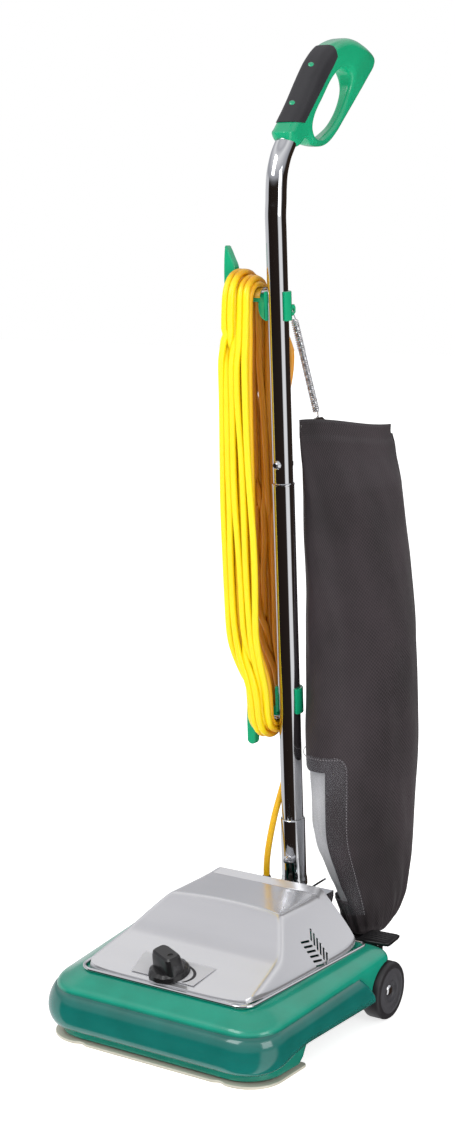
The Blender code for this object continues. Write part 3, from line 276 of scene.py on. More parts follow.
# ---- mesh tools ----------------------------------------------------------------------
def mapped_grid(across: int, along: int, at: Callable[[float, float], Point], closed: bool = False,
                scale: Flat = (1.0, 1.0)) -> Shape:
    """Lay a grid on the surface that a function of two shares gives.

    Args:
        across, along: Cells in each direction.
        at: Gives the point for shares u and v, each 0 to 1.
        closed: Weld the first column to the last.
        scale: Size of the pattern's own map, in metres.

    Returns:
        The mesh, with a map named surface.
    """
    shape = bmesh.new()
    bmesh.ops.create_grid(shape, x_segments=across, y_segments=along, size=0.5)
    layer = shape.loops.layers.uv.new("surface")
    for face in shape.faces:
        for loop in face.loops:
            loop[layer].uv = ((loop.vert.co.x + 0.5) * scale[0], (loop.vert.co.y + 0.5) * scale[1])
    for vert in shape.verts:
        vert.co = at(vert.co.x + 0.5, vert.co.y + 0.5)
    if closed:
        bmesh.ops.remove_doubles(shape, verts=shape.verts, dist=0.000002)
    return shape


def ring_skin(rings: Sequence[Sequence[Point]]) -> Shape:
    """Skin over rings that have the same number of points.

    Args:
        rings: Rings of points from one edge to the other.

    Returns:
        The open skin.
    """
    count = len(rings[0])
    return mapped_grid(count, len(rings) - 1,
                       lambda u, v: rings[round(v * (len(rings) - 1))][round(u * count) % count], True)


def box_shape(low: Point, high: Point, bevel: float = 0.0, segments: int = 3) -> Shape:
    """Block between two corners with rounded edges."""
    shape = bmesh.new()
    bmesh.ops.create_cube(shape, size=1.0)
    bmesh.ops.scale(shape, vec=[h - l for l, h in zip(low, high)], verts=shape.verts)
    bmesh.ops.translate(shape, vec=[(h + l) / 2 for l, h in zip(low, high)], verts=shape.verts)
    if bevel:
        round_edges(shape, bevel, segments)
    return shape


def round_edges(shape: Shape, width: float, segments: int = 3, sharper: float = 20.0) -> None:
    """Bevel every edge that is sharper than an angle in degrees."""
    edges = [e for e in shape.edges if e.is_manifold and e.calc_face_angle(0) > math.radians(sharper)]
    bmesh.ops.bevel(shape, geom=edges, offset=width, offset_type="OFFSET", affect="EDGES",
                    segments=segments, profile=0.5, material=-1)


def turned_shape(profile: Sequence[Flat], steps: int = 48) -> Shape:
    """Spin a closed profile of (radius, height) about Z.

    Args:
        profile: Points around the section.
        steps: Steps in the full turn.

    Returns:
        The closed solid.
    """
    shape = bmesh.new()
    points = [shape.verts.new((radius, 0, height)) for radius, height in profile]
    edges = [shape.edges.new(pair) for pair in zip(points, points[1:] + points[:1])
             if pair[0].co.x > 0 or pair[1].co.x > 0]
    bmesh.ops.spin(shape, geom=points + edges, axis=(0, 0, 1), cent=(0, 0, 0), angle=math.tau,
                   steps=steps, use_merge=True)
    bmesh.ops.remove_doubles(shape, verts=shape.verts, dist=0.00001)
    bmesh.ops.recalc_face_normals(shape, faces=shape.faces)
    return shape


def flat_shape(loops: Sequence[Sequence[Flat]], thickness: float, bevel: float = 0.0,
               turn: Matrix | None = None, origin: Point = (0, 0, 0), steps: int = 3) -> Shape:
    """Plate with an outline and holes, its edges rounded.

    Args:
        loops: The outline first, then the holes.
        thickness: Whole thickness.
        bevel: Rounding of its edges.
        turn: Rotation from the flat to its place.
        origin: Where the outline's own origin goes.
        steps: Steps in the rounding.

    Returns:
        The closed plate.
    """
    curve = bpy.data.curves.new("outline", "CURVE")
    curve.dimensions = "2D"
    curve.fill_mode = "BOTH"
    curve.extrude = thickness / 2 - bevel
    curve.bevel_depth = bevel
    curve.bevel_resolution = steps if bevel else 0
    curve.offset = -bevel
    for loop in loops:
        line = curve.splines.new("POLY")
        line.points.add(len(loop) - 1)
        for point, (x, y) in zip(line.points, loop):
            point.co = (x, y, 0, 1)
        line.use_cyclic_u = True
    return curve_shape(curve, turn, origin)


def curve_shape(curve: bpy.types.Curve, turn: Matrix | None = None,
                origin: Point = (0, 0, 0)) -> Shape:
    """Turn a curve into a welded mesh and delete the curve.

    Args:
        curve: The curve.
        turn: Rotation to apply.
        origin: Place to move it to afterwards.

    Returns:
        The mesh.
    """
    holder = bpy.data.objects.new("holder", curve)
    mesh = bpy.data.meshes.new_from_object(holder)
    shape = bmesh.new()
    shape.from_mesh(mesh)
    bmesh.ops.remove_doubles(shape, verts=shape.verts, dist=0.00001)
    shape.transform(Matrix.Translation(origin) @ (turn.to_4x4() if turn else Matrix.Identity(4)))
    bpy.data.objects.remove(holder)
    bpy.data.meshes.remove(mesh)
    bpy.data.curves.remove(curve)
    return shape


def tube_shape(points: Sequence[Point], radius: float, resolution: int = 4, closed: bool = False,
               caps: bool = True) -> Shape:
    """Round tube or wire through points, four sides and four more for each step of resolution."""
    curve = bpy.data.curves.new("tube", "CURVE")
    curve.dimensions = "3D"
    curve.bevel_depth = radius
    curve.bevel_resolution = resolution
    curve.use_fill_caps = caps and not closed
    line = curve.splines.new("POLY")
    line.points.add(len(points) - 1)
    for point, place in zip(line.points, points):
        point.co = (*place, 1)
    line.use_cyclic_u = closed
    return curve_shape(curve)


def merged(*shapes: Shape) -> Shape:
    """Put several shapes into one mesh, side by side."""
    whole = shapes[0]
    for shape in shapes[1:]:
        part = bpy.data.meshes.new("part")
        shape.to_mesh(part)
        shape.free()
        whole.from_mesh(part)
        bpy.data.meshes.remove(part)
    return whole


def moved(shape: Shape, origin: Point = (0, 0, 0), turn: Matrix | None = None) -> Shape:
    """Turn a shape, then move it."""
    shape.transform(Matrix.Translation(origin) @ (turn.to_4x4() if turn else Matrix.Identity(4)))
    return shape


def along(direction: Point) -> Matrix:
    """Rotation that turns +Z to a direction."""
    return Vector((0, 0, 1)).rotation_difference(Vector(direction)).to_matrix()


def carve(shape: Shape, cutters: Iterable[Shape], wall: float = 0.0) -> Shape:
    """Cut closed shapes out of a shape, after giving a skin its wall.

    Args:
        shape: What is cut.
        cutters: Closed shapes.
        wall: Wall thickness, inwards, where the shape is an open skin.

    Returns:
        The result.
    """
    objects = []
    for part in (shape, *cutters):
        mesh = bpy.data.meshes.new("carving")
        part.to_mesh(mesh)
        part.free()
        objects.append(bpy.data.objects.new("carving", mesh))
        bpy.context.scene.collection.objects.link(objects[-1])
    work = objects[0]
    if wall:
        solid = work.modifiers.new("wall", "SOLIDIFY")
        solid.thickness, solid.offset = wall, -1.0
    for tool in objects[1:]:
        step = work.modifiers.new("carve", "BOOLEAN")
        step.operation, step.object = "DIFFERENCE", tool
        step.solver = "MANIFOLD"
    bpy.context.view_layer.update()
    result = bmesh.new()
    mesh = bpy.data.meshes.new_from_object(work.evaluated_get(bpy.context.evaluated_depsgraph_get()))
    result.from_mesh(mesh)
    bpy.data.meshes.remove(mesh)
    for item in objects:
        data = item.data
        bpy.data.objects.remove(item)
        bpy.data.meshes.remove(data)
    return result


# ---- finishes ------------------------------------------------------------------------
def start_material(name: str,
                   settings: dict) -> tuple[Material, bpy.types.NodeTree, bpy.types.Node]:
    """Make a material and set its Principled shader.

    Args:
        name: Name of the real material.
        settings: Values of the shader's sockets.

    Returns:
        The material, its node tree and the shader.
    """
    material = bpy.data.materials.new(name)
    material.use_nodes = True
    tree = material.node_tree
    shader = next(n for n in tree.nodes if n.type == "BSDF_PRINCIPLED")
    for key, value in settings.items():
        shader.inputs[key].default_value = value
    return material, tree, shader


@dataclass(frozen=True)
class Moulded:
    """Moulded plastic, vinyl or rubber: a slight mottle in colour and a fine grain.

    Attributes:
        name: Real material.
        colour, shade: Main colour and the one it drifts to.
        roughness: Micro roughness.
        coat: Gloss coat.
        grain: Size of the surface grain in metres.
        depth: Depth of the grain in metres.
    """
    name: str
    colour: str
    shade: str
    roughness: float = 0.35
    coat: float = 0.0
    grain: float = 0.0008
    depth: float = 0.00001

    def material(self) -> Material:
        """Build the material."""
        made, tree, shader = start_material(self.name, {"Roughness": self.roughness, "Coat Weight": self.coat,
                                                        "Coat Roughness": 0.08})
        place = add_node(tree, "ShaderNodeTexCoord").outputs["Object"]
        drift = add_node(tree, "ShaderNodeTexNoise", {"Scale": 22.0, "Detail": 4.0}, {"Vector": place})
        ramp = add_node(tree, "ShaderNodeValToRGB", links={"Fac": drift.outputs["Fac"]})
        tree.links.new(set_ramp(ramp, ((0.3, self.shade), (0.7, self.colour))), shader.inputs["Base Color"])
        grain = add_node(tree, "ShaderNodeTexNoise", {"Scale": 1 / self.grain, "Detail": 3.0},
                         {"Vector": place})
        bump = add_node(tree, "ShaderNodeBump", {"Strength": 0.6, "Distance": self.depth},
                        {"Height": grain.outputs["Fac"]})
        tree.links.new(bump.outputs["Normal"], shader.inputs["Normal"])
        wear = add_node(tree, "ShaderNodeMapRange", {"To Min": self.roughness - 0.04,
                                                     "To Max": self.roughness + 0.06},
                        {"Value": drift.outputs["Fac"]})
        tree.links.new(wear.outputs["Result"], shader.inputs["Roughness"])
        return made


@dataclass(frozen=True)
class Metal:
    """Plated, polished or plain metal with faint wear.

    Attributes:
        name: Real material.
        colour: Reflected colour.
        roughness: Micro roughness.
        streak: Stretch of the polishing marks, as scales along X, Y and Z.
        ripple: Depth of the polishing marks in metres.
        shine: Metallic share; below 1 under a lacquered, satin skin.
    """
    name: str
    colour: str
    roughness: float
    streak: tuple[float, float, float] = (60.0, 60.0, 60.0)
    ripple: float = 0.000004
    shine: float = 1.0

    def material(self) -> Material:
        """Build the material."""
        made, tree, shader = start_material(self.name, {"Base Color": linear(self.colour),
                                                        "Metallic": self.shine})
        place = add_node(tree, "ShaderNodeTexCoord").outputs["Object"]
        stretched = add_node(tree, "ShaderNodeMapping", {"Scale": self.streak}, {"Vector": place})
        marks = add_node(tree, "ShaderNodeTexNoise", {"Scale": 1.0, "Detail": 5.0},
                         {"Vector": stretched.outputs["Vector"]})
        spread = add_node(tree, "ShaderNodeMapRange", {"To Min": self.roughness * 0.7,
                                                       "To Max": self.roughness * 1.4},
                          {"Value": marks.outputs["Fac"]})
        tree.links.new(spread.outputs["Result"], shader.inputs["Roughness"])
        bump = add_node(tree, "ShaderNodeBump", {"Strength": 0.5, "Distance": self.ripple},
                        {"Height": marks.outputs["Fac"]})
        tree.links.new(bump.outputs["Normal"], shader.inputs["Normal"])
        return made


@dataclass(frozen=True)
class Woven:
    """Plain-woven coated cloth: threads over and under in two directions.

    Attributes:
        name: Real material.
        colour, shade: Raised threads and the gaps between them; the gaps' darker colour is painted shade, and
            a random drift of tone also moves between the two.
        pitch: Distance between threads in metres.
    """
    name: str
    colour: str
    shade: str
    pitch: float

    def material(self) -> Material:
        """Build the material."""
        made, tree, shader = start_material(self.name, {"Roughness": 0.62, "Sheen Weight": 0.10,
                                                        "Sheen Roughness": 0.4})
        flat = add_node(tree, "ShaderNodeUVMap", {"uv_map": "surface"})
        axes = add_node(tree, "ShaderNodeSeparateXYZ", links={0: flat.outputs["UV"]})
        waves = []
        for axis in ("X", "Y"):
            turns = add_node(tree, "ShaderNodeMath", {"operation": "MULTIPLY", 1: math.pi / self.pitch},
                             {0: axes.outputs[axis]})
            waves.append(add_node(tree, "ShaderNodeMath", {"operation": "SINE"}, {0: turns.outputs[0]}))
        cross = add_node(tree, "ShaderNodeMath", {"operation": "MULTIPLY"},
                         {0: waves[0].outputs[0], 1: waves[1].outputs[0]})
        place = add_node(tree, "ShaderNodeTexCoord").outputs["Object"]
        drift = add_node(tree, "ShaderNodeTexNoise", {"Scale": 7.0, "Detail": 6.0}, {"Vector": place})
        # painted shade: the weave's low gaps darken the colour, on top of a random drift in tone
        sum_up = add_node(tree, "ShaderNodeMath", {"operation": "MULTIPLY_ADD", 1: 0.24},
                          {0: cross.outputs[0], 2: drift.outputs["Fac"]})
        ramp = add_node(tree, "ShaderNodeValToRGB", links={"Fac": sum_up.outputs[0]})
        tree.links.new(set_ramp(ramp, ((0.30, self.shade), (0.68, self.colour))), shader.inputs["Base Color"])
        bump = add_node(tree, "ShaderNodeBump", {"Strength": 0.7, "Distance": 0.0002},
                        {"Height": cross.outputs[0]})
        tree.links.new(bump.outputs["Normal"], shader.inputs["Normal"])
        return made


@dataclass(frozen=True)
class ClearSheet:
    """Clear flexible vinyl with faint creases; its opacity rises along the creases to paint lighter glint
    streaks over what lies behind.
    """
    name: str = "clear_flexible_vinyl"
    opacity: float = 0.08

    def material(self) -> Material:
        """Build the material."""
        made, tree, shader = start_material(self.name, {"Base Color": linear("#85878D"), "Roughness": 0.10,
                                                        "Specular IOR Level": 0.45})
        place = add_node(tree, "ShaderNodeTexCoord").outputs["Object"]
        stretched = add_node(tree, "ShaderNodeMapping", {"Scale": (30.0, 30.0, 9.0)}, {"Vector": place})
        folds = add_node(tree, "ShaderNodeTexNoise", {"Scale": 1.0, "Detail": 1.0},
                         {"Vector": stretched.outputs["Vector"]})
        bump = add_node(tree, "ShaderNodeBump", {"Strength": 0.5, "Distance": 0.0008},
                        {"Height": folds.outputs["Fac"]})
        tree.links.new(bump.outputs["Normal"], shader.inputs["Normal"])
        # painted glints: opacity rises with the creases, so lighter streaks of the sheet's grey show over the
        # cloth
        painted_glint_opacity = add_node(tree, "ShaderNodeMapRange",
                        {"From Min": 0.35, "From Max": 0.70,
                         "To Min": self.opacity - 0.04, "To Max": self.opacity + 0.10},
                        {"Value": folds.outputs["Fac"]})
        tree.links.new(painted_glint_opacity.outputs["Result"], shader.inputs["Alpha"])
        return made


@dataclass(frozen=True)
class CordJacket:
    """Bright PVC jacket with a slight random drift in tone; painted shade, read from a mesh attribute, turns
    strands behind and under the others a deeper orange.
    """
    name: str = "yellow_pvc_jacket"

    def material(self) -> Material:
        """Build the material."""
        made, tree, shader = start_material(self.name, {"Roughness": 0.34, "Coat Weight": 0.15,
                                                        "Subsurface Weight": 0.08, "Subsurface Scale": 0.004})
        # painted shade: a mesh attribute holds how far each strand lies behind or under the others
        shade = add_node(tree, "ShaderNodeAttribute", {"attribute_name": "depth"})
        place = add_node(tree, "ShaderNodeTexCoord").outputs["Object"]
        drift = add_node(tree, "ShaderNodeTexNoise", {"Scale": 14.0, "Detail": 3.0}, {"Vector": place})
        total = add_node(tree, "ShaderNodeMath", {"operation": "MULTIPLY_ADD", 1: 0.12},
                         {0: drift.outputs["Fac"], 2: shade.outputs["Fac"]})
        ramp = add_node(tree, "ShaderNodeValToRGB", links={"Fac": total.outputs[0]})
        tree.links.new(set_ramp(ramp, ((0.05, "#FFE40F"), (0.40, "#F2B30C"), (0.90, "#CC8420"))),
                       shader.inputs["Base Color"])
        return made


class Palette:
    """Every finish of the machine, built once."""

    def __init__(self) -> None:
        """Build the materials."""
        gloss, matt = 0.000004, 0.00001
        self.green = Moulded("green_abs_plastic", "#0FAB78", "#0D9E6F", 0.22, 0.5, 0.0012, gloss).material()
        self.shell = Moulded("green_abs_shell", "#059A80", "#048D74", 0.22, 0.5, 0.0012, gloss).material()
        # painted shade: a darker copy of the shell's green for the housing's lower front
        self.apron_painted_shade = Moulded("green_abs_apron", "#108A74", "#0E7C6A", 0.24, 0.5, 0.0012, gloss).material()
        self.guard = Moulded("teal_soft_vinyl", "#0C6E66", "#0A6159", 0.14, 0.6, 0.0020, 0.000006).material()
        self.hood = Metal("polished_aluminium_sheet", "#DADADD", 0.20, (9.0, 60.0, 60.0), 0.000001,
                          0.72).material()
        self.chrome = Metal("chrome_plate", "#D8D9DC", 0.045).material()
        self.tube = Metal("chrome_plated_tube", "#D2D3D6", 0.05, (40.0, 40.0, 5.0)).material()
        self.steel = Metal("bright_steel", "#C9C8C4", 0.28, (200.0, 20.0, 20.0), matt).material()
        self.sole = Metal("satin_steel_strip", "#DDD8C8", 0.45, (30.0, 200.0, 200.0), matt, 0.25).material()
        self.plate = Moulded("silver_grey_label", "#CFCFD2", "#C6C6CA", 0.40, 0.0, 0.0006).material()
        self.print = Moulded("dark_print", "#2C2B2E", "#252427", 0.5, 0.0, 0.0006).material()
        self.black = Moulded("black_nylon_plastic", "#1C1B1D", "#161517", 0.30, 0.1, 0.0008, matt).material()
        self.tyre = Moulded("black_rubber_tyre", "#2E2C2F", "#262427", 0.48, 0.0, 0.0009, 0.00003).material()
        self.hub = Moulded("grey_wheel_face", "#4A494D", "#424145", 0.42, 0.0, 0.0009, 0.00002).material()
        self.pad = Moulded("dark_grip_rubber", "#2C2B2F", "#252428", 0.55, 0.0, 0.0011, 0.00005).material()
        self.bristle = Moulded("black_nylon_bristle", "#242226", "#1A191B", 0.6, 0.0, 0.0004,
                               0.0001).material()
        self.copper = Metal("lacquered_copper_wire", "#B5683A", 0.3, (40.0, 900.0, 40.0), 0.00005).material()
        self.cloth = Woven("coated_woven_cloth", "#3B3035", "#191315", 0.0024).material()
        self.paper = Moulded("grey_filter_paper", "#C2C2C5", "#B0B0B4", 0.7, 0.0, 0.0030, 0.00004).material()
        self.seam = Moulded("dark_stitching_thread", "#8C878B", "#6F696D", 0.7, 0.0, 0.0005,
                            0.0001).material()
        self.vinyl = ClearSheet().material()
        self.cord = CordJacket().material()


# ---- placing -------------------------------------------------------------------------
class Bench:
    """Puts finished pieces on the machine's moving bodies.

    Attributes:
        nodes: The frame's own parts by name.
        shift: Y of the rear axle in the frame.
    """

    def __init__(self, frame: dict) -> None:
        """Read the frame's parts and where its rear axle lies."""
        self.nodes = frame["nodes"]
        low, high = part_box("rear_axle_left")
        self.shift = (low[1] + high[1]) / 2
        self.collection = bpy.context.scene.collection

    def shown(self, name: str, shape: Shape, materials: Sequence[Material],
              sharp: float = 40.0) -> bpy.types.Object:
        """Make an object of a shape that is drawn about the axle.

        Args:
            name: Piece name.
            shape: The mesh, which is used up.
            materials: Its materials in slot order.
            sharp: Angle in degrees above which an edge stays sharp.

        Returns:
            The object.
        """
        mesh = bpy.data.meshes.new(name)
        shape.transform(Matrix.Translation((0, self.shift, 0)))
        shape.to_mesh(mesh)
        shape.free()
        for material in materials:
            mesh.materials.append(material)
        mesh.shade_smooth()
        mesh.set_sharp_from_angle(angle=math.radians(sharp))
        made = bpy.data.objects.new(name, mesh)
        self.collection.objects.link(made)
        return made

    def place(self, name: str, shape: Shape, materials: Sequence[Material], body: str,
              slot: str = "", replaces: Sequence[str] = (), sharp: float = 40.0) -> bpy.types.Object:
        """Make a rigid piece that rides on one body.

        Args:
            name: Piece name.
            shape: The mesh, which is used up.
            materials: Its materials in slot order.
            body: Body it moves with.
            slot: Record material slot; not used.
            replaces: Frame parts it stands for.
            sharp: Angle in degrees above which an edge stays sharp.

        Returns:
            The object.
        """
        made = self.shown(name, shape, materials, sharp)
        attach(made, body)
        return self.filed(made, slot, replaces)

    def bend(self, name: str, shape: Shape, materials: Sequence[Material],
             heights: Flat, slot: str = "", replaces: Sequence[str] = (),
             sharp: float = 60.0) -> bpy.types.Object:
        """Make a soft piece that bends from the base to the handle between two heights.

        Args:
            name: Piece name.
            shape: The mesh, which is used up.
            materials: Its materials in slot order.
            heights: Where it leaves the base and where it follows the handle.
            slot: Record material slot; not used.
            replaces: Frame parts it stands for.
            sharp: Angle in degrees above which an edge stays sharp.

        Returns:
            The object.
        """
        made = self.shown(name, shape, materials, sharp)
        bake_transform(made, "base", "handle", (0, 0, heights[0]), (0, 0, heights[1]))
        return self.filed(made, slot, replaces)

    def filed(self, made: bpy.types.Object, slot: str, replaces: Sequence[str]) -> bpy.types.Object:
        """Hide the frame parts a piece stands for, and log its face count."""
        if replaces:
            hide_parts(*replaces)
        LOG.info("%s: %d faces", made.name, len(made.data.polygons))
        return made

    def refine(self, node: str, material: Material, slot: str, bevel: float) -> bpy.types.Object:
        """Show a frame part as a softened copy in its finish.

        Args:
            node: The frame part.
            material: Its finish.
            slot: Record material slot; not used.
            bevel: Rounding of its edges in metres.

        Returns:
            The copy.
        """
        source = self.nodes[node]
        shape = bmesh.new()
        part = source.data.copy()
        part.transform(source.matrix_world)
        shape.from_mesh(part)
        bpy.data.meshes.remove(part)
        bmesh.ops.remove_doubles(shape, verts=shape.verts, dist=0.000005)
        bmesh.ops.dissolve_limit(shape, angle_limit=math.radians(1.0), verts=shape.verts, edges=shape.edges)
        shape.transform(Matrix.Translation((0, -self.shift, 0)))
        made = self.place(f"{node}_finished", shape, [material], body_of(source)[0], slot, [node])
        if bevel:
            soft = made.modifiers.new("soft_edges", "BEVEL")
            soft.width, soft.segments, soft.limit_method = bevel, 2, "ANGLE"
            soft.angle_limit = math.radians(35)
        return made


# ---- base ----------------------------------------------------------------------------
@dataclass
class Base:
    """Housing, guard, hood with its trim, dial plate and knob, and the sole plate."""
    front: float = -0.271
    rear: float = 0.012
    front_half: float = 0.157
    rear_half: float = 0.168
    hood_front: float = -0.2395
    hood_rear: float = -0.0060
    hood_front_half: float = 0.116
    hood_rear_half: float = 0.134
    plateau: float = 0.146
    louvres: int = 6

    def share(self, y: float) -> float:
        """Place from the front of the body to its rear."""
        return (y - self.front) / (self.rear - self.front)

    def crease(self, y: float) -> float:
        """Height of the edge above the guard."""
        return 0.0640 + 0.0140 * self.share(y)

    def rim(self, y: float) -> float:
        """Height of the deck around the hood."""
        return 0.0825 + 0.0055 * self.share(y)

    def body_ring(self, inset: float, height: Callable[[float], float]) -> list[Point]:
        """Closed ring of the body at an inset."""
        outline = plan_outline(self.front + inset, self.rear - inset / 2, self.front_half - inset,
                               self.rear_half - inset / 2, 0.046, 0.016, 14, 26, 18)
        return [(x, y, height(y)) for x, y in outline]

    def housing(self) -> Shape:
        """Green shell with a crowned deck and wheel arches; its lower front takes a darker copy of the green,
        which is painted shade.
        """
        opening = plan_outline(-0.231, -0.014, 0.107, 0.124, 0.020, 0.012, 14, 26, 18)
        shoulder = self.body_ring(0.0095, lambda y: self.crease(y) + 0.0066)
        rings = [[(x, y, self.rim(y) - 0.0060) for x, y in opening]]
        for k in range(13):
            t = k / 12
            rings.append([(a + (c - a) * t, b + (d - b) * t,
                           (self.rim(b) - 0.0010) * (1 - t) + e * t + 0.0042 * math.sin(math.pi * t))
                          for (a, b), (c, d, e) in zip(opening, shoulder)])
        soft = ((0.0066, 0.0050), (0.0042, 0.0030), (0.0026, 0.0008), (0.0016, -0.0018), (0.0011, -0.0050))
        rings += [self.body_ring(inset, lambda y, r=rise: self.crease(y) + r) for inset, rise in soft]
        rings.append(self.body_ring(0.001, lambda y: 0.052))
        rings.append(self.body_ring(0.001, lambda y: 0.038))
        rings.append(self.body_ring(0.0018, lambda y: max(self.hem(y) + 0.011, 0.0280)))
        rings.append(self.body_ring(0.0050, lambda y: max(self.hem(y) + 0.004, 0.0200)))
        rings.append(self.body_ring(0.0060, self.hem))
        skin = ring_skin(rings)
        bmesh.ops.recalc_face_normals(skin, faces=skin.faces)
        arches = [moved(turned_shape([(0.0, 0.0), (0.0387, 0.0), (0.0387, 0.046), (0.0, 0.046)], 64),
                        (side * 0.1440, 0, 0.0357), along((side, 0, 0))) for side in (-1, 1)]
        shell = carve(skin, arches, wall=0.0028)
        # painted shade: faces below the crease at the front take the darker copy of the green in the second
        # slot
        for face in shell.faces:
            middle = face.calc_center_median()
            face.material_index = int(middle.z < self.crease(middle.y) - 0.0030 and middle.y < -0.080)
        return shell

    @staticmethod
    def hem(y: float) -> float:
        """Height of the lower edge: low in front, stepped up behind the nozzle."""
        return 0.0060 + 0.0225 * smooth_step(y, -0.184, -0.168)

    def guard(self) -> Shape:
        """Convex band around the front and the sides, with slanted ends."""
        outline = plan_outline(self.front + 0.001, self.rear, 0.156, 0.1675, 0.046, 0.016, 16, 30, 24)
        start = next(i for i, (x, y) in enumerate(outline) if i > 17 and y > -0.030)
        right = outline[:start]
        tail = [(-x, y) for x, y in reversed(right)]
        front = outline[-23:]
        path = tail + front + right
        levels = 14

        def at(u: float, v: float) -> Point:
            """Point of the band: u along it and v from its upper edge down."""
            index = round(u * (len(path) - 1))
            x, y = path[index]
            end_y = -0.067 + 0.031 * v
            if y > end_y:
                y = end_y + (y - end_y) * 0.02
            before, after = path[max(index - 1, 0)], path[min(index + 1, len(path) - 1)]
            out = Vector((after[1] - before[1], before[0] - after[0])).normalized()
            bulge = 0.0004 + 0.0098 * math.sin(math.pi * min(1, max(0, v)) ** 1.15) ** 0.60
            low, high = 0.0150 + 0.0150 * smooth_step(y, -0.262, -0.176), self.crease(y) - 0.0040
            return x + out.x * bulge, y + out.y * bulge, high + (low - high) * v

        band = mapped_grid(len(path) - 1, levels, at)
        bmesh.ops.remove_doubles(band, verts=band.verts, dist=0.00005)
        inner = bmesh.ops.extrude_edge_only(band, edges=[e for e in band.edges if e.is_boundary])["geom"]
        for vert in (g for g in inner if isinstance(g, bmesh.types.BMVert)):
            vert.co.x -= math.copysign(0.0012, vert.co.x) * (abs(vert.co.x) > 0.12)
            vert.co.y += 0.0012 * (vert.co.y < -0.26)
        bmesh.ops.recalc_face_normals(band, faces=band.faces)
        return band

    def hood_height(self, x: float, y: float) -> float:
        """Top of the hood: a plateau with crisp sides and a low shelf in front."""
        share = (y - self.hood_front) / (self.hood_rear - self.hood_front)
        half = self.hood_front_half + (self.hood_rear_half - self.hood_front_half) * share
        edge = self.rim(y) + 0.006
        side = edge + (half - abs(x)) * (self.plateau - edge) / (half - 0.080)
        shelf = edge - 0.0015 + (y - self.hood_front) * math.tan(SHELF_TILT)
        slope = 0.101 + (y + 0.166) * 0.80
        rear = edge + (self.hood_rear - y) * 3.2
        top = self.plateau + 0.003 * (1 - (x / 0.08) ** 2)
        dome = self.lesser(self.lesser(top, slope, 0.0050), rear, 0.012)
        front = -self.lesser(-dome, -shelf, 0.0060)
        return self.lesser(front, side, 0.0050)

    @staticmethod
    def lesser(a: float, b: float, blend: float) -> float:
        """Smaller of two heights, with a rounded meeting line."""
        share = max(blend - abs(a - b), 0.0) / blend
        return min(a, b) - share * share * blend / 4

    def hood_point(self, u: float, v: float) -> Point:
        """Point of the hood's sheet for u and v from -1 to 1."""
        share = (v + 1) / 2
        half = self.hood_front_half + (self.hood_rear_half - self.hood_front_half) * share
        pull = max(abs(u), abs(v)) ** 3 * 0.0070 * (abs(u) * abs(v)) ** 6
        x = u * half - math.copysign(pull, u)
        y = self.hood_front + (self.hood_rear - self.hood_front) * share - math.copysign(pull, v)
        return x, y, self.hood_height(x, y)

    def hood(self) -> Shape:
        """Drawn sheet with a rolled skirt and chevron louvres in its right side."""
        sheet = mapped_grid(120, 120, lambda u, v: self.hood_point(2 * u - 1, 2 * v - 1))
        for rim_drop, out in ((0.0015, 0.0006), (0.0060, 0.0010)):
            edges = [e for e in sheet.edges if e.is_boundary]
            skirt = bmesh.ops.extrude_edge_only(sheet, edges=edges)["geom"]
            for vert in (g for g in skirt if isinstance(g, bmesh.types.BMVert)):
                middle = Vector((0, -0.122))
                away = (Vector(vert.co.xy) - middle).normalized()
                vert.co.x += away.x * out
                vert.co.y += away.y * out
                vert.co.z -= rim_drop * 0.75
        bmesh.ops.recalc_face_normals(sheet, faces=sheet.faces)
        if sum(f.normal.z for f in sheet.faces) < 0:
            bmesh.ops.reverse_faces(sheet, faces=sheet.faces)
        return carve(sheet, [merged(*self.slots())], wall=0.0012)

    def slots(self) -> list[Shape]:
        """Cutters of the louvres: two slanted slots in each row, which meet like an arrow."""
        cutters = []
        for row in range(self.louvres):
            z = 0.1140 - 0.0050 * row
            for (y0, z0), (y1, z1) in (((-0.1040, z + 0.0020), (-0.0880, z)), ((-0.0850, z - 0.0010),
                                                                             (-0.0730, z + 0.0090))):
                middle = Vector((0.1080, (y0 + y1) / 2, (z0 + z1) / 2))
                length = math.hypot(y1 - y0, z1 - z0)
                half = 0.0012 if y0 < -0.1000 else 0.0017
                block = box_shape((-0.030, -length / 2, -half), (0.030, length / 2, half), 0.0009, 2)
                cutters.append(moved(block, middle, Matrix.Rotation(math.atan2(z1 - z0, y1 - y0), 3, "X")))
        return cutters

    def trim(self) -> Shape:
        """Bright bead around the foot of the hood."""
        out = 0.0042
        outline = plan_outline(self.hood_front - out, self.hood_rear + out, self.hood_front_half + out,
                               self.hood_rear_half + out, 0.020, 0.010, 12, 12, 12)
        return tube_shape([(x, y, self.rim(y) + 0.0012) for x, y in outline], 0.0022, 4, closed=True)

    def sole(self) -> Shape:
        """Metal strip under the nozzle, notched near both ends of its front edge."""
        outline = plan_outline(-0.2715, -0.1740, 0.1560, 0.1575, 0.044, 0.006, 12, 4, 40)
        mouth = plan_outline(-0.2450, -0.1790, 0.1340, 0.1340, 0.008, 0.008, 4, 1, 1)
        notched = []
        for x, y in outline:
            notch = y < -0.2705 and (0.094 < abs(x) < 0.1025)
            notched.append((x, y + 0.0030 if notch else y))
        return flat_shape([notched, mouth], 0.0035, 0.0008, None, (0, 0, 0.00175))

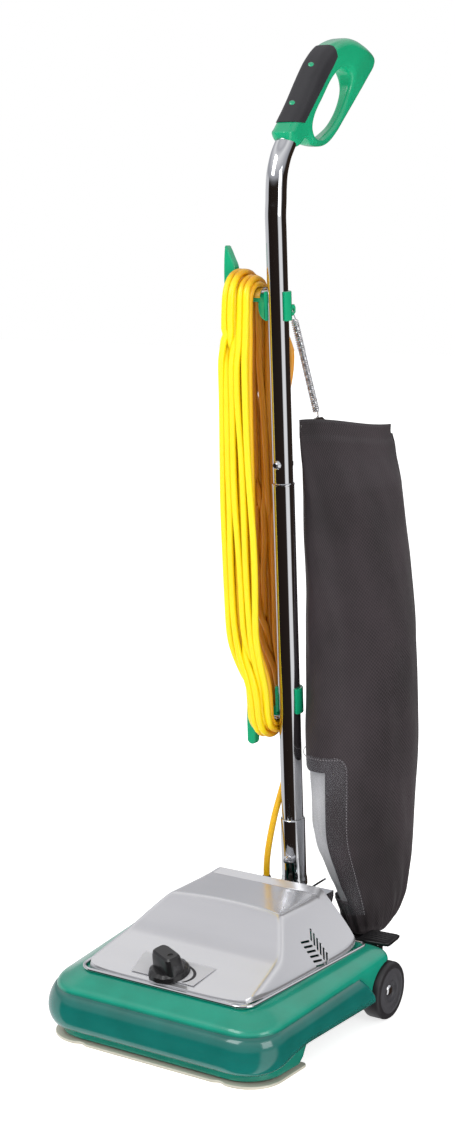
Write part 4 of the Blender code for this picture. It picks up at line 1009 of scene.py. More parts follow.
    def dial(self) -> tuple[Shape, Shape]:
        """Label plate under the knob, and its printed crescent and line."""
        outline = [(-0.046, -0.0130), (0.042, -0.0130), (0.049, 0.0262), (-0.053, 0.0262)]
        hole = [(0.0065 * math.cos(a), 0.0065 * math.sin(a)) for a in (math.tau * k / 32 for k in range(32))]
        normal = Vector((0, -math.sin(SHELF_TILT), math.cos(SHELF_TILT)))
        turn = Matrix.Rotation(SHELF_TILT, 3, "X")
        seat = Vector((KNOB_X, KNOB_Y, self.hood_height(KNOB_X, KNOB_Y)))
        plate = flat_shape([outline, hole], 0.0010, 0.0002, turn, seat + normal * 0.0011)
        sweep = [math.radians(-38 + 176 * k / 40) for k in range(41)]
        flatten, marks = 0.62, list(enumerate(sweep))
        crescent = [((0.0335 + 0.0012 + 0.0022 * k / 40) * math.cos(a),
                     flatten * (0.0335 + 0.0022 * k / 40) * math.sin(a)) for k, a in marks]
        crescent += [((0.0318 - 0.0016 * k / 40) * math.cos(a),
                      flatten * (0.0322 - 0.0016 * k / 40) * math.sin(a)) for k, a in reversed(marks)]
        mark = flat_shape([crescent], 0.0002, 0.0, turn, seat + normal * 0.0017)
        return plate, mark

    def knob(self) -> Shape:
        """Faceted turning grip on a scalloped collar, with its stem and cam below."""
        flange = turned_shape([(0, 0.0074), (0.0195, 0.0074), (0.0236, 0.0048), (0.0250, 0.0012), (0.0250, 0),
                               (0.0050, 0), (0.0050, -0.0100), (0.0110, -0.0100), (0.0110, -0.0130),
                               (0, -0.0130)], 72)
        for vert in flange.verts:
            if vert.co.z > 0 and vert.co.xy.length > 0.0190:
                angle = math.atan2(vert.co.y, vert.co.x)
                vert.co.xy *= 1 - 0.035 * (0.5 + 0.5 * math.cos(12 * angle)) ** 2
        levels = ((0.0215, 0.0112, 0.0040), (0.0212, 0.0108, 0.0130), (0.0205, 0.0102, 0.0200),
                  (0.0190, 0.0092, 0.0250), (0.0165, 0.0072, 0.0270))
        rings = []
        for length, width, z in levels:
            ring = []
            for k in range(48):
                a = math.tau * k / 48
                power = 0.34
                ring.append((length * math.copysign(abs(math.cos(a)) ** power, math.cos(a)),
                             width * math.copysign(abs(math.sin(a)) ** power, math.sin(a))
                             * (1 - 0.10 * math.cos(2 * a)), z))
            rings.append(ring)
        grip = ring_skin(rings)
        bmesh.ops.holes_fill(grip, edges=[e for e in grip.edges if e.is_boundary], sides=0)
        bmesh.ops.recalc_face_normals(grip, faces=grip.faces)
        dimple = turned_shape([(0, -0.0010), (0.0034, 0.0), (0.0042, 0.004), (0, 0.004)], 24)
        moved(dimple, (0.0095, 0, 0.0262))
        grip = carve(grip, [dimple])
        grip.transform(Matrix.Rotation(math.radians(-24), 4, "Z"))
        normal = Vector((0, -math.sin(SHELF_TILT), math.cos(SHELF_TILT)))
        seat = Vector((KNOB_X, KNOB_Y, self.hood_height(KNOB_X, KNOB_Y))) + normal * 0.0020
        return moved(merged(flange, grip), seat, Matrix.Rotation(SHELF_TILT, 3, "X"))

    def build(self, bench: Bench, look: Palette) -> None:
        """Make and place every piece of the base's outside."""
        bench.place("housing_shell", self.housing(), [look.shell, look.apron_painted_shade], "base", "abs_green",
                    ["base_housing"], 50)
        bench.place("guard_band", self.guard(), [look.guard], "base", "vinyl_teal", ["furniture_guard"], 60)
        bench.place("hood_sheet", self.hood(), [look.hood], "base", "polished_aluminium", ["motor_hood"], 35)
        bench.place("hood_bead", self.trim(), [look.chrome], "base", "chrome_plate", ["hood_trim"], 60)
        bench.place("sole_strip", self.sole(), [look.sole], "base", "bright_steel", ["sole_plate"])
        plate, mark = self.dial()
        bench.place("dial_label", plate, [look.plate], "base", "grey_plate", ["dial_plate"])
        bench.place("dial_print", mark, [look.print], "base", "black_plastic")
        bench.place("turning_knob", self.knob(), [look.black], "height_knob", "black_plastic",
                    ["height_knob"], 28)


@dataclass
class RunningGear:
    """Rear wheels on headed axles, and the foot pedal."""
    radius: float = 0.0355
    width: float = 0.0245
    outer_face: float = 0.1730
    axle_z: float = 0.0357

    def wheel(self) -> Shape:
        """Wheel with a round-shouldered tyre, a raised ring and a recessed hub."""
        half = self.width / 2
        profile = [(0.0050, half - 0.0045), (0.0122, half - 0.0047), (0.0130, half - 0.0040),
                   (0.0140, half - 0.0006), (0.0150, half), (0.0205, half), (0.0215, half - 0.0008),
                   (0.0270, half - 0.0012), (0.0278, half - 0.0003), (0.0318, half), (0.0338, half - 0.0008),
                   (0.0350, half - 0.0024), (self.radius, half - 0.0042), (self.radius, -half + 0.0042),
                   (0.0350, -half + 0.0024), (0.0338, -half + 0.0008), (0.0318, -half), (0.0050, -half)]
        shape = turned_shape(profile, 96)
        for face in shape.faces:
            away = math.hypot(*face.calc_center_median().xy)
            face.material_index = 0 if away > 0.0276 else 1
        return shape

    def axle(self) -> Shape:
        """Pin with a domed bright head."""
        return turned_shape([(0, 0.0542), (0.0028, 0.0540), (0.0050, 0.0532), (0.0066, 0.0520),
                             (0.0072, 0.0510), (0.0046, 0.0508), (0.0046, 0), (0, 0)], 40)

    def pedal(self) -> Shape:
        """Round-cornered foot pad with raised tread ribs."""
        outline = [(0.112, 0.020), (0.117, 0.0190), (0.150, 0.0240), (0.1540, 0.0290), (0.1515, 0.0560),
                   (0.1470, 0.0610), (0.118, 0.0590), (0.112, 0.0540)]
        soft = [tuple(spline(outline + outline[:1], k / 56)) for k in range(56)]
        pad = flat_shape([soft], 0.0042, 0.0012, None, (0, 0, 0.0820))
        ribs = [tube_shape([(0.1170, y, 0.0840), (0.1480, y, 0.0840)], 0.0007, 1)
                for y in (0.030, 0.036, 0.042, 0.048, 0.054)]
        return merged(pad, *ribs)

    def build(self, bench: Bench, look: Palette) -> None:
        """Make and place the wheels, axles and pedal."""
        for side, label in ((-1, "left"), (1, "right")):
            turn = along((side, 0, 0))
            middle = side * (self.outer_face - self.width / 2)
            wheel = moved(self.wheel(), (middle, 0, self.axle_z), turn)
            bench.place(f"wheel_{label}", wheel, [look.tyre, look.hub], f"rear_wheel_{label}", "black_rubber",
                        [f"rear_wheel_{label}"])
            axle = moved(self.axle(), (side * 0.1180, 0, self.axle_z), turn)
            bench.place(f"axle_{label}", axle, [look.chrome], "base", "chrome_plate", [f"rear_axle_{label}"])
        bench.place("pedal_pad", self.pedal(), [look.black], "release_pedal", "black_plastic")
        bench.refine("release_pedal", look.black, "black_plastic", 0.0006)


# ---- handle --------------------------------------------------------------------------
@dataclass
class Handle:
    """Bail, socket, tubes, bolts, cord hooks and switch lever."""
    socket_top: float = 0.2134
    joint: float = 0.6440
    bend: tuple[Flat, ...] = (
        (0.0040, 0.9850), (0.0044, 1.0000), (0.0065, 1.0170), (0.0140, 1.0360), (0.0240, 1.0505),
        (0.0400, 1.0725), (0.0560, 1.0930), (0.0660, 1.1050))

    def socket(self) -> Shape:
        """Drawn socket with a flared foot and a rolled top edge."""
        shape = turned_shape([(0.0141, -0.0004), (0.0147, 0.0), (0.0153, -0.0004), (0.0157, -0.0016),
                              (0.0157, -0.0770), (0.0160, -0.0795), (0.0167, -0.0815), (0.0168, -0.0885),
                              (0.0164, -0.0895), (0.0100, -0.0895), (0.0100, -0.0855), (0.0141, -0.0855)], 64)
        lean = Vector((0, -math.sin(TUBE_LEAN), math.cos(TUBE_LEAN)))
        return moved(shape, (0, tube_y(self.socket_top), self.socket_top), along(lean))

    def lower_tube(self) -> Shape:
        """Straight lower tube."""
        points = [Vector((0, tube_y(z), z)) for z in (0.1325, 0.30, 0.47, self.joint)]
        return carve(tube_shape(points, LOWER_TUBE_RADIUS, 10, caps=False), (), wall=0.0011)

    def upper_tube(self) -> Shape:
        """Upper tube, bent back into the grip."""
        low = self.joint - 0.006
        points = [Vector((0, tube_y(z), z)) for z in (low, 0.76, 0.88)]
        route = [(0, tube_y(z), z) for z in (0.95, 0.968)] + [(0, y, z) for y, z in self.bend]
        points += smooth_path(route, 0.004)
        return carve(tube_shape(points, UPPER_TUBE_RADIUS, 10, caps=False), (), wall=0.0011)

    def joint_ring(self) -> Shape:
        """Rolled edge where the tubes meet."""
        ring = turned_shape([(0.0129, -0.0010), (0.0139, -0.0014), (0.0144, -0.0004), (0.0142, 0.0008),
                             (0.0129, 0.0016)], 64)
        lean = Vector((0, -math.sin(TUBE_LEAN), math.cos(TUBE_LEAN)))
        return moved(ring, (0, tube_y(self.joint), self.joint), along(lean))

    @staticmethod
    def saddle(x_near: float, x_far: float, z: float, upward: bool) -> Shape:
        """Half ring of bright sheet that the cord's loops lie on, with rolled ends."""
        start = 0.0 if upward else math.pi
        y = tube_y(z)

        def at(u: float, v: float) -> Point:
            """Point of the half ring: u around it and v along it."""
            angle = start + math.pi * u
            flare = 0.0007 * (abs(2 * v - 1)) ** 8
            radius = SADDLE_RADIUS - 0.0010 + flare
            return x_near + (x_far - x_near) * v, y + radius * math.cos(angle), z + radius * math.sin(angle)

        sheet = mapped_grid(36, 24, at)
        bmesh.ops.recalc_face_normals(sheet, faces=sheet.faces)
        bmesh.ops.solidify(sheet, geom=list(sheet.faces), thickness=0.0010)
        return sheet

    def hook(self, z: float, clip: Flat, tube_radius: float, arm_end: float,
             peg: Sequence[Flat], upward: bool) -> Shape:
        """Hook: an open clip around the tube, a web, an arm and a curved end peg.

        Args:
            z: Height of the arm.
            clip: Lowest and highest point of the clip.
            tube_radius: Radius of the tube it grips.
            arm_end: X where the arm ends.
            peg: Outline (x, z) of the end peg.
            upward: Whether the peg points up.

        Returns:
            The hook.
        """
        middle = (clip[0] + clip[1]) / 2
        angles = [math.radians(-28 + 236 * k / 32) for k in range(33)]
        loop = [((tube_radius + 0.0038) * math.cos(a), (tube_radius + 0.0038) * math.sin(a)) for a in angles]
        loop += [((tube_radius + 0.0003) * math.cos(a), (tube_radius + 0.0003) * math.sin(a))
                 for a in reversed(angles)]
        ring = flat_shape([loop], clip[1] - clip[0], 0.0008, Matrix.Rotation(TUBE_LEAN, 3, "X"),
                          (0, tube_y(middle), middle), 2)
        y = tube_y(z)
        root = -(tube_radius + 0.0015)
        arm = box_shape((arm_end, y - 0.0052, z - 0.0052), (root, y + 0.0052, z + 0.0052), 0.0012)
        web = box_shape((root - 0.0030, y - 0.0050, clip[0] + 0.001),
                        (root, y + 0.0050, clip[1] - 0.001), 0.0010)
        soft = [tuple(spline(list(peg) + [peg[0]], k / 96)) for k in range(96)]
        flat = Matrix(((1, 0, 0), (0, 0, -1), (0, 1, 0)))
        horn = flat_shape([soft], 0.0120, 0.0022, flat, (0, y, 0), 4)
        if not upward:
            return merged(ring, arm, web, horn)
        wedge = [(-0.0140, 0.8430), (-0.0185, 0.8440), (-0.0225, 0.8480), (-0.0248, 0.8540),
                 (-0.0255, 0.8610), (-0.0255, 0.8720), (-0.0140, 0.8720)]
        gusset = flat_shape([wedge], 0.0100, 0.0015, flat, (0, y, 0), 3)
        lug_y = tube_y(0.856)
        lug = [(lug_y + 0.0145, 0.8460), (lug_y + 0.0320, 0.8480), (lug_y + 0.0370, 0.8520),
               (lug_y + 0.0370, 0.8580), (lug_y + 0.0340, 0.8618), (lug_y + 0.0145, 0.8620)]
        eye = [(lug_y + 0.0320 + 0.0027 * math.cos(a), 0.8545 + 0.0027 * math.sin(a))
               for a in (math.tau * k / 20 for k in range(20))]
        ear = flat_shape([lug, eye], 0.0050, 0.0009, SIDEWAYS)
        return merged(ring, arm, web, horn, gusset, ear)

    def build(self, bench: Bench, look: Palette) -> None:
        """Make and place the handle's pieces."""
        bench.refine("handle_bail", look.chrome, "chrome_plate", 0.0009)
        bench.place("tube_socket", self.socket(), [look.chrome], "handle", "chrome_plate", ["handle_socket"])
        bench.place("tube_lower", self.lower_tube(), [look.tube], "handle", "chrome_plate", ["lower_wand"])
        bench.place("tube_upper", self.upper_tube(), [look.tube], "handle", "chrome_plate", ["upper_wand"])
        bench.place("tube_joint_ring", self.joint_ring(), [look.chrome], "handle", "chrome_plate")
        for node in ("socket_bolt", "wand_bolt"):
            bench.refine(node, look.chrome, "chrome_plate", 0.0005)
        horn = [(-0.0725, 0.8610), (-0.0605, 0.8610), (-0.0598, 0.8800), (-0.0582, 0.8980), (-0.0588, 0.9080),
                (-0.0640, 0.9190), (-0.0690, 0.9290), (-0.0725, 0.9312), (-0.0740, 0.9150), (-0.0740, 0.8900)]
        upper = self.hook(UPPER_SADDLE_Z, (0.8430, 0.8780), UPPER_TUBE_RADIUS, -0.0600, horn, True)
        bench.place("cord_hook_upper", upper, [look.green], "handle", "abs_green", ["upper_hook"])
        peg = [(-0.0475, 0.3610), (-0.0475, 0.3300), (-0.0478, 0.3120), (-0.0500, 0.3060), (-0.0550, 0.3050),
               (-0.0590, 0.3080), (-0.0600, 0.3150), (-0.0600, 0.3610)]
        lower = self.hook(LOWER_SADDLE_Z, (0.3535, 0.3860), LOWER_TUBE_RADIUS, -0.0480, peg, False)
        bench.place("cord_hook_lower", lower, [look.green], "handle", "abs_green", ["lower_hook"])
        for label, near, far, z, upward in (("upper", -0.0176, -0.0592, UPPER_SADDLE_Z, True),
                                            ("lower", -0.0187, -0.0472, LOWER_SADDLE_Z, False)):
            bench.place(f"saddle_{label}", self.saddle(near, far, z, upward), [look.chrome], "handle",
                        "chrome_plate", [f"{label}_hook_saddle"], 50)
        bench.refine("switch_lever", look.chrome, "chrome_plate", 0.0005)


@dataclass
class Grip:
    """D-shaped grip with its soft pad."""
    thickness: float = 0.0300
    voxel: float = 0.0012
    outline: tuple[Flat, ...] = (
        (0.0100, 1.0640), (0.0420, 1.0990), (0.0700, 1.1340), (0.0900, 1.1560), (0.1140, 1.1730),
        (0.1450, 1.1830), (0.1720, 1.1835), (0.2000, 1.1770), (0.2300, 1.1680), (0.2320, 1.1560),
        (0.2150, 1.1390), (0.1880, 1.1140), (0.1560, 1.0850), (0.1380, 1.0690), (0.1180, 1.0560),
        (0.0980, 1.0510), (0.0720, 1.0520), (0.0560, 1.0590), (0.0360, 1.0480), (0.0180, 1.0540))
    hole: tuple[Flat, ...] = (
        (0.0720, 1.0640), (0.0690, 1.0740), (0.0760, 1.0890), (0.0930, 1.1080), (0.1120, 1.1290),
        (0.1320, 1.1430), (0.1530, 1.1460), (0.1640, 1.1380), (0.1640, 1.1210), (0.1510, 1.0990),
        (0.1330, 1.0810), (0.1140, 1.0690), (0.0930, 1.0610))
    patch: tuple[Flat, ...] = (
        (-0.0100, 1.0765), (0.0435, 1.0765), (0.1130, 1.1500), (0.1205, 1.1590), (0.1140, 1.1705),
        (0.0990, 1.1775), (0.0500, 1.1900), (-0.0100, 1.1500))

    def body(self) -> Shape:
        """Rounded body: the outline stood up, softened all round, thinner in its lower bow."""
        loops = []
        for loop in (self.outline, self.hole):
            ring = list(loop) + [loop[0]]
            loops.append([tuple(spline(ring, k / 160)) for k in range(160)])
        blank = flat_shape(loops, self.thickness, 0.0085, SIDEWAYS, steps=5)
        mesh = bpy.data.meshes.new("blank")
        blank.to_mesh(mesh)
        blank.free()
        work = bpy.data.objects.new("blank", mesh)
        bpy.context.scene.collection.objects.link(work)
        skin = work.modifiers.new("skin", "REMESH")
        skin.mode, skin.voxel_size = "VOXEL", self.voxel
        soft = work.modifiers.new("soft", "SMOOTH")
        soft.factor, soft.iterations = 0.5, 14
        graph = bpy.context.evaluated_depsgraph_get()
        result = bmesh.new()
        made = bpy.data.meshes.new_from_object(work.evaluated_get(graph))
        result.from_mesh(made)
        bpy.data.objects.remove(work)
        bpy.data.meshes.remove(made)
        bpy.data.meshes.remove(mesh)
        for vert in result.verts:
            below = (vert.co.y - 0.02) * 0.66 - (vert.co.z - 1.06) * 0.75
            vert.co.x *= 1 - 0.52 * smooth_step(below, 0.026, 0.066)
        return result

    def pad(self, body: Shape) -> Shape:
        """Soft pad: a patch of the body's own surface, raised a little."""
        patch = body.copy()
        ring = list(self.patch)
        for (y0, z0), (y1, z1) in zip(ring, ring[1:] + ring[:1]):
            bmesh.ops.bisect_plane(patch, geom=[*patch.verts, *patch.edges, *patch.faces], dist=0.000001,
                                   plane_co=(0, y0, z0), plane_no=(0, z1 - z0, y0 - y1), clear_outer=True)
        inside = [f for f in patch.faces if f.calc_center_median().y > 0.0700
                  and f.normal.y > 0.2 and f.calc_center_median().z < 1.1450 and abs(f.normal.x) < 0.3]
        bmesh.ops.delete(patch, geom=inside, context="FACES")
        for vert in patch.verts:
            vert.co += vert.normal * 0.0002
        bmesh.ops.solidify(patch, geom=list(patch.faces), thickness=-0.0010)
        return patch

    def build(self, bench: Bench, look: Palette) -> None:
        """Make and place the grip and its pad."""
        body = self.body()
        pad = self.pad(body)
        bench.place("grip_shell", body, [look.green], "handle", "abs_green", ["grip_body"], 60)
        bench.place("grip_soft_pad", pad, [look.pad], "handle", "black_rubber", ["grip_pad"], 50)
        facing = along((0.35, -0.72, 0.60))
        dome = [(0, 0.0008), (0.0026, 0.0006), (0.0034, 0), (0, -0.0020)]
        dots = [moved(turned_shape(dome, 24), place, facing)
                for place in ((0.0140, 0.0595, 1.1455), (0.0140, 0.0165, 1.0985))]
        bench.place("grip_pad_windows", merged(*dots), [look.green], "handle", "abs_green")
        bench.refine("grip_screw", look.steel, "bright_steel", 0.0003)


# ---- bag -----------------------------------------------------------------------------
@dataclass
class Bag:
    """Cloth dust bag with a clear window, its closing strip's hem and its spring.

    Attributes:
        sections: Height, middle x, half thickness, front y and rear y, from the top down.
        window: Angles and heights of the cloth's opening behind the clear sheet.
    """
    sections: tuple[tuple[float, ...], ...] = (
        (0.7030, 0.008, 0.0055, 0.048, 0.284), (0.6880, 0.010, 0.0105, 0.047, 0.289),
        (0.6240, 0.018, 0.0260, 0.047, 0.291), (0.5165, 0.030, 0.0400, 0.046, 0.285),
        (0.4100, 0.042, 0.0490, 0.038, 0.270), (0.3300, 0.052, 0.0520, 0.022, 0.253),
        (0.2665, 0.060, 0.0500, 0.012, 0.239), (0.2034, 0.067, 0.0460, 0.008, 0.225),
        (0.1430, 0.076, 0.0380, 0.030, 0.207), (0.1086, 0.086, 0.0310, 0.040, 0.179),
        (0.0920, 0.088, 0.0280, 0.045, 0.160), (0.0830, 0.088, 0.0280, 0.049, 0.142),
        (0.0765, 0.088, 0.0265, 0.051, 0.118))
    window: tuple[float, float, float, float] = (-75.0, 9.0, 0.120, 0.288)

    def section(self, z: float) -> list[float]:
        """Middle x, half thickness, front and rear y of the bag at a height."""
        rows = self.sections
        z = min(max(z, rows[-1][0]), rows[0][0])
        index = next(i for i in range(len(rows) - 1) if rows[i + 1][0] <= z)
        share = (rows[index][0] - z) / (rows[index][0] - rows[index + 1][0])
        return spline(rows, (index + share) / (len(rows) - 1))[1:]

    def point(self, z: float, degrees: float, proud: float = 0.0) -> Vector:
        """Point of the bag's side: 0 degrees is its front edge and 90 the +X side."""
        middle, half, front, rear = self.section(z)
        angle = math.radians(degrees)
        return Vector((middle + (half + proud) * math.sin(angle),
                       (front + rear) / 2 - ((rear - front) / 2 + proud) * math.cos(angle), z))

    @staticmethod
    def tilt(y: float) -> float:
        """How far the bag's top edge stands above level: it drops to the rear."""
        return 0.0080 - 0.0240 * smooth_step(y, 0.040, 0.300)

    def strip(self) -> Shape:
        """Closing strip inside the top hem, with the eye for the spring."""
        outline = [(0.0500, 0.7060), (0.2780, 0.6880), (0.2780, 0.6940), (0.1200, 0.7110), (0.1020, 0.7206),
                   (0.0860, 0.7206), (0.0740, 0.7150), (0.0500, 0.7140)]
        eye = [(0.0940 + 0.0026 * math.cos(a), 0.7160 + 0.0026 * math.sin(a))
               for a in (math.tau * k / 20 for k in range(20))]
        return flat_shape([outline, eye], 0.0024, 0.0004, SIDEWAYS, (0.0080, 0, 0))

    def folds(self, z: float, degrees: float) -> float:
        """How far soft folds lift the cloth."""
        slack = noise.noise(Vector((degrees / 34, z * 7, 0.3))) * 0.0030
        creases = noise.noise(Vector((degrees / 16 + z * 5, z * 15, 4.0))) * 0.0015
        gather = math.sin(math.radians(degrees) * 17 + z * 20) * 0.0016 * (1 - smooth_step(z, 0.085, 0.16))
        calm = smooth_step(0.703 - z, 0.0, 0.05) * smooth_step(z, 0.0765, 0.085)
        return (slack + creases) * calm + gather * smooth_step(z, 0.0765, 0.088)

    def cloth(self) -> Shape:
        """Cloth shell, closed along the top and open at the neck and behind the window."""
        top, low = self.sections[0][0], self.sections[-1][0]

        def at(u: float, v: float) -> Point:
            """Point of the cloth: u around the bag and v down it."""
            degrees = 360 * u - 180
            if v < 0.012:
                point = self.point(top, degrees)
                flat = v / 0.012
                middle = self.section(top)[0]
                thin = middle + (point.x - middle) * (0.42 + 0.58 * flat)
                return thin, point.y, top + 0.0100 * (1 - flat) + self.tilt(point.y)
            z = top - (top - low) * (v - 0.012) / 0.988
            point = self.point(z, degrees, self.folds(z, degrees))
            return point.x, point.y, z + self.tilt(point.y) * smooth_step(z, 0.600, top)

        shell = mapped_grid(144, 170, at, True, (0.56, 0.63))
        left, right, bottom, upper = self.window
        gone = []
        for face in shell.faces:
            middle = face.calc_center_median()
            x, half, front, rear = self.section(middle.z)
            degrees = math.degrees(math.atan2((middle.x - x) / half, ((front + rear) / 2 - middle.y)
                                              / ((rear - front) / 2)))
            if left < degrees < right and bottom < middle.z < upper:
                gone.append(face)
        bmesh.ops.delete(shell, geom=gone, context="FACES")
        bmesh.ops.recalc_face_normals(shell, faces=shell.faces)
        return shell

    def inner_bag(self) -> Shape:
        """Paper bag inside, which shows through the window."""
        def at(u: float, v: float) -> Point:
            """Point of the pleated paper: u around it and v down it."""
            z = 0.345 - 0.24 * v
            degrees = 300 * u - 150
            crumple = 0.0016 * noise.noise(Vector((degrees / 9, z * 40, 1.0)))
            pleat = 0.0012 * math.sin(math.radians(degrees) * 10)
            return self.point(z, degrees, -0.0065 + crumple + pleat)

        bag = mapped_grid(120, 60, at)
        bmesh.ops.recalc_face_normals(bag, faces=bag.faces)
        bmesh.ops.solidify(bag, geom=list(bag.faces), thickness=0.0006)
        return bag

    def sheet_point(self, u: float, v: float) -> Vector:
        """Point of the clear sheet: u from its left edge to its right, v from the top down."""
        z = 0.308 - 0.204 * v
        right = 36.0
        if z > 0.290:
            right -= 13.0 * (1 - math.sqrt(max(0.0, 1 - ((z - 0.290) / 0.018) ** 2)))
        degrees = -62.0 + (right + 62.0) * u
        slack = 0.0034 * math.sin(math.pi * u) * math.sin(math.pi * v)
        ripple = 0.0018 * noise.noise(Vector((u * 4, v * 7, 2.0))) * math.sin(math.pi * u)
        return self.point(z, degrees, 0.0026 + slack + ripple)

    def clear_sheet(self) -> Shape:
        """Clear vinyl sheet over the front of the bag."""
        sheet = mapped_grid(56, 80, self.sheet_point)
        bmesh.ops.recalc_face_normals(sheet, faces=sheet.faces)
        return sheet

    def stitches(self) -> Shape:
        """Row of stitches along the sheet's right and upper edge."""
        edge = [self.sheet_point(0.985, k / 120) for k in range(121)]
        upper = [self.sheet_point(0.10 + 0.88 * k / 60, 0.012) for k in range(61)]
        made = []
        for line in (edge, upper):
            walk = evenly_spaced(line, 0.0018)
            made += [tube_shape([a + (b - a) * 0.1, b], 0.00045, 1) for a, b in zip(walk[::2], walk[1::2])]
        return merged(*made)

    def piping(self) -> Shape:
        """Corded seam down the rear edge."""
        rear = [self.point(0.700 - 0.61 * k / 90, 180, 0.0008) for k in range(91)]
        for point in rear:
            point.z += self.tilt(point.y) * smooth_step(point.z, 0.600, 0.703)
        route = list(reversed(rear))
        return tube_shape(evenly_spaced(route, 0.006), 0.0017, 2)

    def spring(self) -> Shape:
        """Tight extension spring between the hook's lug and the strip's eye."""
        high = Vector((0, tube_y(0.856) + 0.0320, 0.8545))
        low = Vector((0.0080, 0.0940, 0.7160))
        line = (low - high).normalized()
        across = Vector((1, 0, 0))
        normal = line.cross(across).normalized()
        start, end = high + line * 0.012, low - line * 0.012
        turns, points = 44, []
        eye, bow = 0.0030, 0.0032
        for k in range(9):
            angle = math.radians(-200 + 25 * k)
            points.append(high + line * (eye - eye * math.cos(angle)) + normal * bow * math.sin(angle))
        for k in range(turns * 12 + 1):
            angle = math.tau * k / 12
            radius = 0.0040 * min(1.0, 0.5 + k / 12, 0.5 + (turns * 12 - k) / 12)
            points.append(start.lerp(end, k / (turns * 12)) + across * radius * math.cos(angle)
                          + normal * radius * math.sin(angle))
        for k in range(9):
            angle = math.radians(-180 + 25 * k)
            points.append(low - line * (eye + eye * math.cos(angle)) - normal * bow * math.sin(angle))
        return tube_shape(points, 0.00082, 1)

    def build(self, bench: Bench, look: Palette) -> None:
        """Make and place the bag's pieces."""
        heights = (0.085, 0.300)
        cloth = bench.bend("bag_cloth", self.cloth(), [look.cloth], heights, "woven_cloth", ["cloth_bag"], 80)
        solid = cloth.modifiers.new("cloth_thickness", "SOLIDIFY")
        solid.thickness, solid.offset = 0.0012, -1.0
        seam = bench.bend("bag_piping", self.piping(), [look.cloth], heights, "woven_cloth")
        bench.bend("bag_paper", self.inner_bag(), [look.paper], heights, "grey_plate")
        bench.bend("bag_clear_sheet", self.clear_sheet(), [look.vinyl], heights, "clear_vinyl",
                   ["vinyl_window"])
        thread = bench.bend("bag_stitches", self.stitches(), [look.seam], heights, "woven_cloth")
        bench.place("bag_top_bar", self.strip(), [look.steel], "handle", "bright_steel", ["bag_top_strip"])
        bench.place("bag_spring_coil", self.spring(), [look.chrome], "handle", "chrome_plate", ["bag_spring"])


